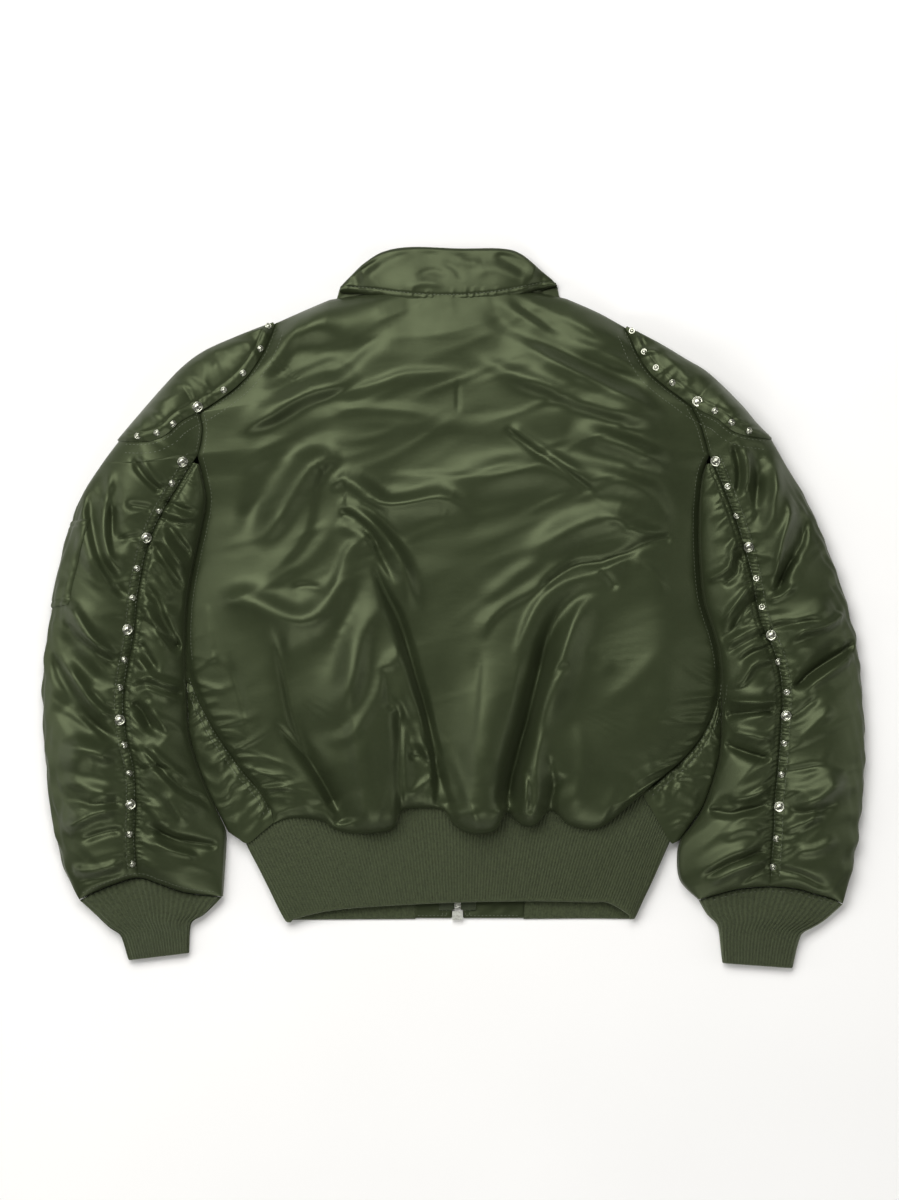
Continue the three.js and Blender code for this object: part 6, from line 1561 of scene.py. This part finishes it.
def make_pocket(sleeve, material):
    """sleeve is the grid of the outer sleeve, the top of whose fold the pocket is sewn to."""
    first, last = POCKET_COLUMNS
    rows = SHEET_CENTRE[1] - sleeve[:, last - 6, 1]
    covered = (rows > POCKET["from"]) & (rows < POCKET["to"])
    own = sleeve[covered, first - 1 : last + 1]
    along, across = np.gradient(own, axis=0), np.gradient(own, axis=1)
    normal = np.cross(across, along)
    normal /= np.linalg.norm(normal, axis=-1, keepdims=True) + 1e-9
    normal = normal * np.where((normal[..., 0] > 0) & (normal[..., 2] < 0.6), -1, 1)[..., None]
    count, wide = own.shape[:2]
    t, w = np.linspace(0, 1, count)[:, None], np.linspace(0, 1, wide)[None, :]
    edge = np.minimum(1, 14 * np.minimum(t, 1 - t)) * np.minimum(1, 6 * w)
    fullness = 0.9 * np.sin(math.pi * t) + 0.4 * np.sin(17 * t) * np.sin(math.pi * w)
    lift = POCKET["gap"] + POCKET["wall"] * round_off(edge) + fullness * smooth(edge)
    lift = lift - 0.7 * np.exp(-(((t * (1 - t) * 4 - 0.24) / 0.05) ** 2))
    grid = own + normal * lift[..., None]
    grid[..., 2] = np.maximum(grid[..., 2], 0.1)
    return cloth("arm_pocket", grid, material)


# Materials
SHADER_INPUTS = {
    "base": "Base Color",
    "rough": "Roughness",
    "metal": "Metallic",
    "normal": "Normal",
    "level": "Specular IOR Level",
    "tint": "Specular Tint",
    "sheen": "Sheen Weight",
    "sheen_rough": "Sheen Roughness",
    "sheen_tint": "Sheen Tint",
}


class Nodes:
    """A short way to build one material's nodes."""

    def __init__(self, name):
        self.material = bpy.data.materials.new(name)
        self.material.use_nodes = True
        self.tree = self.material.node_tree
        self.shader = self.tree.nodes["Principled BSDF"]
        self.place = self.add("ShaderNodeTexCoord").outputs["Object"]

    def add(self, kind, **settings):
        node = self.tree.nodes.new(kind)
        for key, value in settings.items():
            setattr(node, key, value)
        return node

    def link(self, source, target):
        if isinstance(source, (int, float)):
            target.default_value = source
        else:
            self.tree.links.new(source, target)

    def math(self, kind, a, b=0.0, c=0.0):
        node = self.add("ShaderNodeMath", operation=kind)
        for value, socket in zip((a, b, c), node.inputs):
            self.link(value, socket)
        return node.outputs[0]

    def noise(self, size, detail=3.0, roughness=0.5, stretch=None):
        """Noise whose blotches are about size mm across."""
        node = self.add("ShaderNodeTexNoise")
        node.inputs["Scale"].default_value = 1000 / size
        node.inputs["Detail"].default_value = detail
        node.inputs["Roughness"].default_value = roughness
        place = self.place
        if stretch:
            mapping = self.add("ShaderNodeMapping")
            mapping.inputs["Scale"].default_value = stretch
            self.link(place, mapping.inputs["Vector"])
            place = mapping.outputs[0]
        self.link(place, node.inputs["Vector"])
        return node.outputs["Fac"]

    def ramp(self, value, stops):
        node = self.add("ShaderNodeValToRGB")
        ramp = node.color_ramp
        while len(ramp.elements) < len(stops):
            ramp.elements.new(0.5)
        for element, (at, colour) in zip(ramp.elements, stops):
            element.position = at
            element.color = (*colour, 1)
        self.link(value, node.inputs["Fac"])
        return node.outputs["Color"]

    def spread(self, value, low, high):
        node = self.add("ShaderNodeMapRange")
        for key, number in (("From Min", 0.3), ("From Max", 0.7), ("To Min", low), ("To Max", high)):
            node.inputs[key].default_value = number
        self.link(value, node.inputs["Value"])
        return node.outputs[0]

    def bump(self, height, distance, strength=1.0, under=None):
        node = self.add("ShaderNodeBump")
        node.inputs["Distance"].default_value = distance / 1000
        node.inputs["Strength"].default_value = strength
        self.link(height, node.inputs["Height"])
        if under is not None:
            self.link(under, node.inputs["Normal"])
        return node.outputs[0]

    def set(self, **values):
        for key, value in values.items():
            socket = self.shader.inputs[SHADER_INPUTS[key]]
            if isinstance(value, tuple):
                socket.default_value = (*value, 1)
            else:
                self.link(value, socket)


def satin(name, base, dark, rough=0.42):
    """Closely woven nylon with a satin face: broad soft shine, fine weave, faint streaks and wear."""
    n = Nodes(name)
    broad, fine = n.noise(80, 3), n.noise(3.5, 4, 0.6)
    shade = n.math("ADD", n.math("MULTIPLY", broad, 0.65), n.math("MULTIPLY", fine, 0.35))
    light = tuple(c * 1.13 for c in base)
    colour = n.ramp(shade, [(0.28, dark), (0.5, base), (0.75, light)])
    weave = n.add("ShaderNodeTexWave", wave_type="BANDS", bands_direction="DIAGONAL")
    weave.inputs["Scale"].default_value = 560
    weave.inputs["Distortion"].default_value = 1.4
    n.link(n.place, weave.inputs["Vector"])
    normal = n.bump(weave.outputs["Fac"], 0.05, 0.3)
    streaks = n.noise(9, 3, 0.5, (0.4, 1.0, 1.0))
    normal = n.bump(streaks, 0.5, 0.3, normal)
    normal = n.bump(n.noise(1.6, 3, 0.6), 0.06, 0.4, normal)
    n.set(base=colour, rough=n.spread(n.noise(30, 3), rough - 0.03, rough + 0.05))
    n.set(level=0.46, tint=(0.86, 1.0, 0.56), normal=normal)
    n.set(sheen=0.06, sheen_rough=0.4, sheen_tint=(0.75, 0.85, 0.5))
    return n.material


def knit(name, base, dark):
    """Wool rib: small interlocked stitches, softly fuzzy."""
    n = Nodes(name)
    mottle = n.noise(2.2, 3, 0.6)
    colour = n.ramp(mottle, [(0.3, dark), (0.5, base), (0.78, tuple(c * 1.3 for c in base))])
    loops = n.add("ShaderNodeTexVoronoi", feature="SMOOTH_F1")
    loops.inputs["Scale"].default_value = 900
    n.link(n.place, loops.inputs["Vector"])
    normal = n.bump(loops.outputs["Distance"], 0.35, 0.6)
    normal = n.bump(n.noise(1.1, 3, 0.7), 0.2, 0.5, normal)
    n.set(base=colour, rough=n.spread(n.noise(5), 0.8, 0.95), level=0.25)
    n.set(sheen=0.35, sheen_rough=0.5, sheen_tint=(0.7, 0.78, 0.55), normal=normal)
    return n.material


def metal(name, base, rough, tarnish, plating=1.0):
    n = Nodes(name)
    wear = n.noise(2.4, 5, 0.65)
    n.set(base=n.ramp(wear, [(0.32, tarnish), (0.55, base)]), metal=plating)
    n.set(rough=n.spread(n.noise(0.9, 4, 0.6), rough - 0.06, rough + 0.14))
    n.set(normal=n.bump(n.noise(0.6, 3, 0.6), 0.05, 0.35))
    return n.material


def thread(name, base):
    n = Nodes(name)
    twist = n.add("ShaderNodeTexWave", wave_type="BANDS", bands_direction="DIAGONAL")
    twist.inputs["Scale"].default_value = 900
    n.link(n.place, twist.inputs["Vector"])
    # The twist's grooves, low in its bump, are coloured darker: painted shade.
    dark = tuple(c * 0.7 for c in base)
    n.set(base=n.ramp(twist.outputs["Fac"], [(0.2, dark), (0.8, base)]), rough=0.5, level=0.5)
    n.set(normal=n.bump(twist.outputs["Fac"], 0.1, 0.6))
    return n.material


SATIN = satin("satin_sage", (0.0190, 0.0248, 0.0109), (0.0148, 0.0195, 0.0084))
# A darker copy of the same satin, for the collar, its wings and the waistband's ends: its darker tone is
# painted shade.
SATIN_PAINTED_SHADE = satin("satin_painted_shade", (0.0150, 0.0196, 0.0085), (0.0118, 0.0155, 0.0067), 0.42)
# A darker, rougher copy of the satin for the layers that lie beneath the others: its darker tone is painted
# shade.
SATIN_UNDER_SHADE = satin("satin_under_painted_shade", (0.0175, 0.0228, 0.0100), (0.0136, 0.0179, 0.0077), 0.48)
RIB = knit("rib_knit", (0.0385, 0.0480, 0.0205), (0.022, 0.028, 0.0115))
RIB_CUFF = knit("rib_cuff", (0.0355, 0.0445, 0.0190), (0.0205, 0.0262, 0.0105))
WOVEN_TAPE = knit("zip_tape_weave", (0.028, 0.035, 0.017), (0.021, 0.026, 0.012))
# The thread is much lighter than the satin, brightened as painted highlight so that the stitches show as
# light dots; its twist holds painted shade.
THREAD_PAINTED_LIGHT = thread("sewing_thread_painted_light", (0.085, 0.100, 0.058))
NICKEL = metal("nickel", (0.46, 0.47, 0.38), 0.22, (0.17, 0.175, 0.135), 0.95)
ZIP_METAL = metal("zip_metal", (0.70, 0.71, 0.63), 0.32, (0.42, 0.42, 0.36), 0.55)


# Stitches: short raised threads that follow the cloth
class Surface:
    """Finds the top of the cloth below a plan point."""

    def __init__(self, pieces):
        points, faces, start = [], [], 0
        for piece in pieces:
            points += [tuple(v.co) for v in piece.data.vertices]
            faces += [[start + i for i in f.vertices] for f in piece.data.polygons]
            start = len(points)
        self.tree = BVHTree.FromPolygons(points, faces)

    def under(self, x, y):
        """The point below a plan point, in metres, and the outward direction there."""
        start = Vector(((x - SHEET_CENTRE[0]) / 1000, (SHEET_CENTRE[1] - y) / 1000, 0.3))
        point, normal, _, _ = self.tree.ray_cast(start, Vector((0, 0, -1)))
        if point is None:
            return None, None
        return point, normal if normal.z > 0 else -normal


STITCH = {"length": 2.6, "gap": 1.2, "half_width": 0.36, "rise": 0.28}
# How far each row of stitches lies from its seam or edge
TOPSTITCH = {
    "collar": 6.5,
    "saddle": (-11, -2.5),
    "sleeve": (9, 1.2),
    "armhole": (2.5, -5),
    "pleat": (-4.5,),
    "side": (8, 2.5),
    "cuff": -4.5,
    "zip": (0, 4),
    "hem": 2.5,
}


def stitch_row(surface, xy, offset):
    """Stitches along a plan line, offset sideways from it, as points and faces."""
    line = Line(xy)
    points, faces = [], []
    pace = STITCH["length"] + STITCH["gap"]
    for k in range(int(line.length / pace)):
        ends = line.at(np.array([k * pace, k * pace + STITCH["length"]]) / line.length)
        run = ends[1] - ends[0]
        run /= np.hypot(*run) + 1e-9
        across = np.array([-run[1], run[0]])
        ends = ends + across * offset
        ring = []
        for x, y in ends:
            place, normal = surface.under(x, y)
            if place is None:
                break
            ring.append((np.array(place) * 1000, np.array(normal)))
        if len(ring) < 2 or abs(ring[0][0][2] - ring[1][0][2]) > 2.5:
            continue
        start = len(points)
        side = np.array([across[0], -across[1], 0]) * STITCH["half_width"]
        (a, normal), (b, _) = ring
        for share_along, lift, wide in ((0, -0.25, 0.5), (0.25, 0.8, 1), (0.75, 0.8, 1), (1, -0.25, 0.5)):
            middle = a + (b - a) * share_along
            up = normal * STITCH["rise"]
            for turn in (-1.0, -0.5, 0.5, 1.0):
                high = lift - 0.81 * turn**2
                points.append(middle + side * turn * wide + up * high)
        for i in range(3):
            for j in range(3):
                c = start + i * 4 + j
                faces.append([c, c + 1, c + 5, c + 4])
    return points, faces


def stitching(name, surface, rows):
    points, faces = [], []
    for xy, offset in rows:
        new_points, new_faces = stitch_row(surface, xy, offset)
        faces += [[i + len(points) for i in f] for f in new_faces]
        points += new_points
    points, faces = np.array(points), np.array(faces)
    a, b, c = (points[faces[0, k]] for k in range(3))
    if np.cross(b - a, c - a)[2] < 0:
        faces = faces[:, ::-1]
    dress(make_object(name, points, faces, THREAD_PAINTED_LIGHT), JACKET, "satin")


# Studs: a turned head with a rim, standing on the cloth
STUD_FORM = {
    "large": [
        (0, 2.6), (1.4, 2.5), (2.7, 2.1), (3.4, 1.6), (3.6, 1.15), (4.0, 1.1), (4.4, 1.45), (5.0, 1.35),
        (5.4, 0.8), (5.4, -0.6),
    ],
    "small": [
        (0, 1.9), (1.0, 1.75), (1.8, 1.3), (2.1, 0.85), (2.4, 0.8), (2.8, 1.0), (3.2, 0.7), (3.3, 0.2),
        (3.2, -0.6),
    ],
}
STUD_TURNS = {"large": 40, "small": 26}
# A stud is seated on a circle of places and leans with them. sunk is in metres.
STUD_SEAT = {"places": 8, "reach": 3.0, "upright": 0.8, "sunk": 0.0001}


def stud(name, kind, place, normal, *nodes):
    turns = STUD_TURNS[kind]
    form = STUD_FORM[kind]
    angle = np.linspace(0, math.tau, turns, endpoint=False)
    rings = [np.stack([r * np.cos(angle), r * np.sin(angle), np.full(turns, z)], -1) for r, z in form[1:]]
    points = np.vstack([[[0, 0, form[0][1]]]] + rings)
    turn = Vector((0, 0, 1)).rotation_difference(Vector(normal)).to_matrix()
    points = points @ np.array(turn).T + np.array(place) * 1000
    faces = []
    for i in range(len(rings)):
        for j in range(turns):
            k = (j + 1) % turns
            if i == 0:
                faces.append([0, 1 + j, 1 + k])
            else:
                a, b = 1 + (i - 1) * turns, 1 + i * turns
                faces.append([a + j, b + j, b + k, a + k])
    return dress(make_object(name, points, faces, NICKEL), JACKET, "stud_metal", *nodes)


def build_cloth():
    pieces = {"back": dress(make_back(SATIN), JACKET, "satin", "back_panel")}
    for side in SIDES:
        makers = (
            ("sleeve_outer", make_sleeve_outer, SATIN, "satin"),
            ("sleeve_inner", make_sleeve_inner, SATIN, "satin"),
            ("saddle", make_saddle, SATIN, "satin"),
            ("side_panel", make_side, SATIN, "satin"),
            ("cuff", make_cuff, RIB_CUFF, "rib"),
        )
        for node, maker, material, slot in makers:
            name = f"{node}_{side}"
            pieces[name] = dress(maker(side, material), JACKET, slot, name)
    pieces["band"] = dress(make_band(RIB), JACKET, "rib", "waistband")
    pieces["collar"] = dress(make_collar(SATIN_PAINTED_SHADE), JACKET, "satin", "collar")
    surface = Surface(pieces.values())
    for side in SIDES:
        pieces[f"wing_{side}"] = dress(make_wing(side, SATIN_PAINTED_SHADE), JACKET, "satin")
        flats = (
            ("front", make_front, SATIN_UNDER_SHADE, "satin"),
            ("sleeve_under", make_under, SATIN_UNDER_SHADE, "satin"),
            ("back_gusset", make_gusset, SATIN_UNDER_SHADE, "satin"),
            ("waistband_end", make_band_end, SATIN_PAINTED_SHADE, "satin"),
            ("zip_tape", make_tape, WOVEN_TAPE, "zip_tape"),
        )
        for node, maker, material, slot in flats:
            name = f"{node}_{side}"
            pieces[name] = dress(maker(side, material), JACKET, slot, name)
    pieces["pocket"] = dress(make_pocket(sleeve_outer_grid("left"), SATIN), JACKET, "satin", "sleeve_pocket")
    dress(make_teeth(ZIP_METAL), JACKET, "zip_metal", "zip_chain")
    sew(surface, Surface([pieces["waistband_end_left"], pieces["waistband_end_right"]]))
    set_studs(surface)


def rows_beside(line, side, seam):
    return [(line, INWARDS[side] * offset) for offset in TOPSTITCH[seam]]


def sew(surface, ends):
    share = np.linspace(0, 1, 60)
    collar = COLLAR_EDGE.at(lerp(0.03, 0.97, share)) - np.array([0, TOPSTITCH["collar"]])
    stitching("collar_topstitch", surface, [(collar, 0)])
    for side in SIDES:
        body_edge = SADDLE[side]["body_edge"].at(lerp(0.04, 1, share))
        sleeve_edge = SADDLE[side]["sleeve_edge"].at(lerp(0, 0.96, share))
        rows = []
        for offset in TOPSTITCH["saddle"]:
            rows += [(edge, INWARDS[side] * offset) for edge in (body_edge, sleeve_edge)]
        stitching(f"saddle_topstitch_{side}", surface, rows)
        seam = SLEEVE[side]["seam"].at(lerp(0.01, 0.985, share))
        stitching(f"sleeve_topstitch_{side}", surface, rows_beside(seam, side, "sleeve"))
        armhole = ARMHOLE[side].at(share)
        pleat = PLEAT[side].at(lerp(0.02, 0.96, share))
        rows = rows_beside(armhole, side, "armhole") + rows_beside(pleat, side, "pleat")
        stitching(f"armhole_topstitch_{side}", surface, rows)
        side_seam = SIDE_SEAM[side].at(lerp(0.03, 0.97, share))
        stitching(f"side_topstitch_{side}", surface, rows_beside(side_seam, side, "side"))
        cuff = Line(SLEEVE[side]["cuff_edge"]).at(lerp(0.04, 0.96, share))
        stitching(f"cuff_topstitch_{side}", surface, [(cuff, TOPSTITCH["cuff"])])
        left, right = BAND_ENDS[side]
        column = np.stack([0 * share + BAND_STITCH[side], lerp(*BAND_END_ROWS, share)], -1)
        hem_row = BAND_END_ROWS[1] - TOPSTITCH["hem"]
        hem = np.stack([lerp(left + 3, right - 3, share), 0 * share + hem_row], -1)
        rows = [(column, offset) for offset in TOPSTITCH["zip"]] + [(hem, 0)]
        stitching(f"waist_end_topstitch_{side}", ends, rows)


def set_studs(surface):
    for kind, sides in STUDS.items():
        for side, spots in sides.items():
            for i, (x, y) in enumerate(spots):
                place, normal = stud_place(surface, x, y)
                node = f"stud_{kind}_{side}_{i + 1}"
                stud(f"{node}_head", kind, place, normal, node)
    for side, spots in SLEEVE_STUDS.items():
        for i, (x, y) in enumerate(spots):
            place, normal = stud_place(surface, x, y)
            stud(f"stud_sleeve_{side}_{i + 1}", "small", place, normal)


def stud_place(surface, x, y):
    """A stud sits on the mean plane of the cloth around it, pressed in a little."""
    rise, tilt, count = 0, Vector((0, 0, 0)), 0
    for k in range(STUD_SEAT["places"] + 1):
        reach = 0 if k == 0 else STUD_SEAT["reach"]
        angle = k * math.tau / STUD_SEAT["places"]
        dx, dy = reach * math.cos(angle), reach * math.sin(angle)
        point, normal = surface.under(x + dx, y + dy)
        if point is None:
            continue
        rise, tilt, count = rise + point.z, tilt + normal, count + 1
    tilt = (tilt / count + Vector((0, 0, STUD_SEAT["upright"]))).normalized()
    height = rise / count - STUD_SEAT["sunk"]
    return Vector(((x - SHEET_CENTRE[0]) / 1000, (SHEET_CENTRE[1] - y) / 1000, height)), tilt


def dress_hard_parts():
    """The zip's cast parts keep their solids and take a better material."""
    for node in ("zip_box", "zip_slider", "zip_pull_tab"):
        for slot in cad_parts[node].material_slots:
            slot.material = ZIP_METAL


# The floor, the light and the camera
def pale_floor():
    n = Nodes("pale_floor")
    tone = n.ramp(n.noise(300, 2), [(0.3, (0.83, 0.82, 0.80)), (0.7, (0.85, 0.84, 0.82))])
    n.set(base=tone, rough=0.9, level=0.1)
    points = np.array([[-1, -1, 0], [1, -1, 0], [1, 1, 0], [-1, 1, 0]]) * FLOOR_HALF
    floor = make_object("floor", points, np.array([[0, 1, 2, 3]]), n.material)


def softbox(name, place, target, size, watts):
    light = bpy.data.lights.new(name, "AREA")
    light.shape = "RECTANGLE"
    light.size, light.size_y = size
    light.energy = watts
    obj = bpy.data.objects.new(name, light)
    obj.location = place
    obj.rotation_euler = (Vector(target) - Vector(place)).to_track_quat("-Z", "Y").to_euler()
    bpy.context.collection.objects.link(obj)


def studio():
    softbox("key", (-0.75, 1.5, 2.25), (0, 0.05, 0), (3.0, 1.8), 104)
    softbox("fill", (0.4, -2.9, 1.9), (0.1, -0.3, 0), (3.0, 0.8), 50)
    softbox("left", (-2.6, -0.1, 1.0), (0, -0.1, 0), (1.0, 2.2), 18)
    softbox("right", (2.6, -0.1, 1.0), (0, -0.1, 0), (1.0, 2.2), 14)
    world = bpy.data.worlds.new("studio")
    bpy.context.scene.world = world
    world.use_nodes = True
    background = world.node_tree.nodes["Background"]
    background.inputs["Color"].default_value = (1.0, 1.0, 0.99, 1)
    background.inputs["Strength"].default_value = 0.1
    scene = bpy.context.scene
    scene.view_settings.view_transform = "Standard"
    scene.view_settings.look = "None"


def camera():
    """Straight above the middle of the photograph, far enough away to look almost square on."""
    data = bpy.data.cameras.new("camera")
    data.sensor_fit = "VERTICAL"
    data.sensor_height = 36
    data.lens = CAMERA["lens"]
    data.clip_end = 50
    obj = bpy.data.objects.new("camera", data)
    middle = (PHOTO["width"] / 2 - SHEET_CENTRE[0], SHEET_CENTRE[1] - PHOTO["height"] / 2)
    obj.location = (middle[0] / 1000, middle[1] / 1000, CAMERA["height"])
    bpy.context.collection.objects.link(obj)
    bpy.context.scene.camera = obj


camera()
pale_floor()
studio()
build_cloth()
dress_hard_parts()
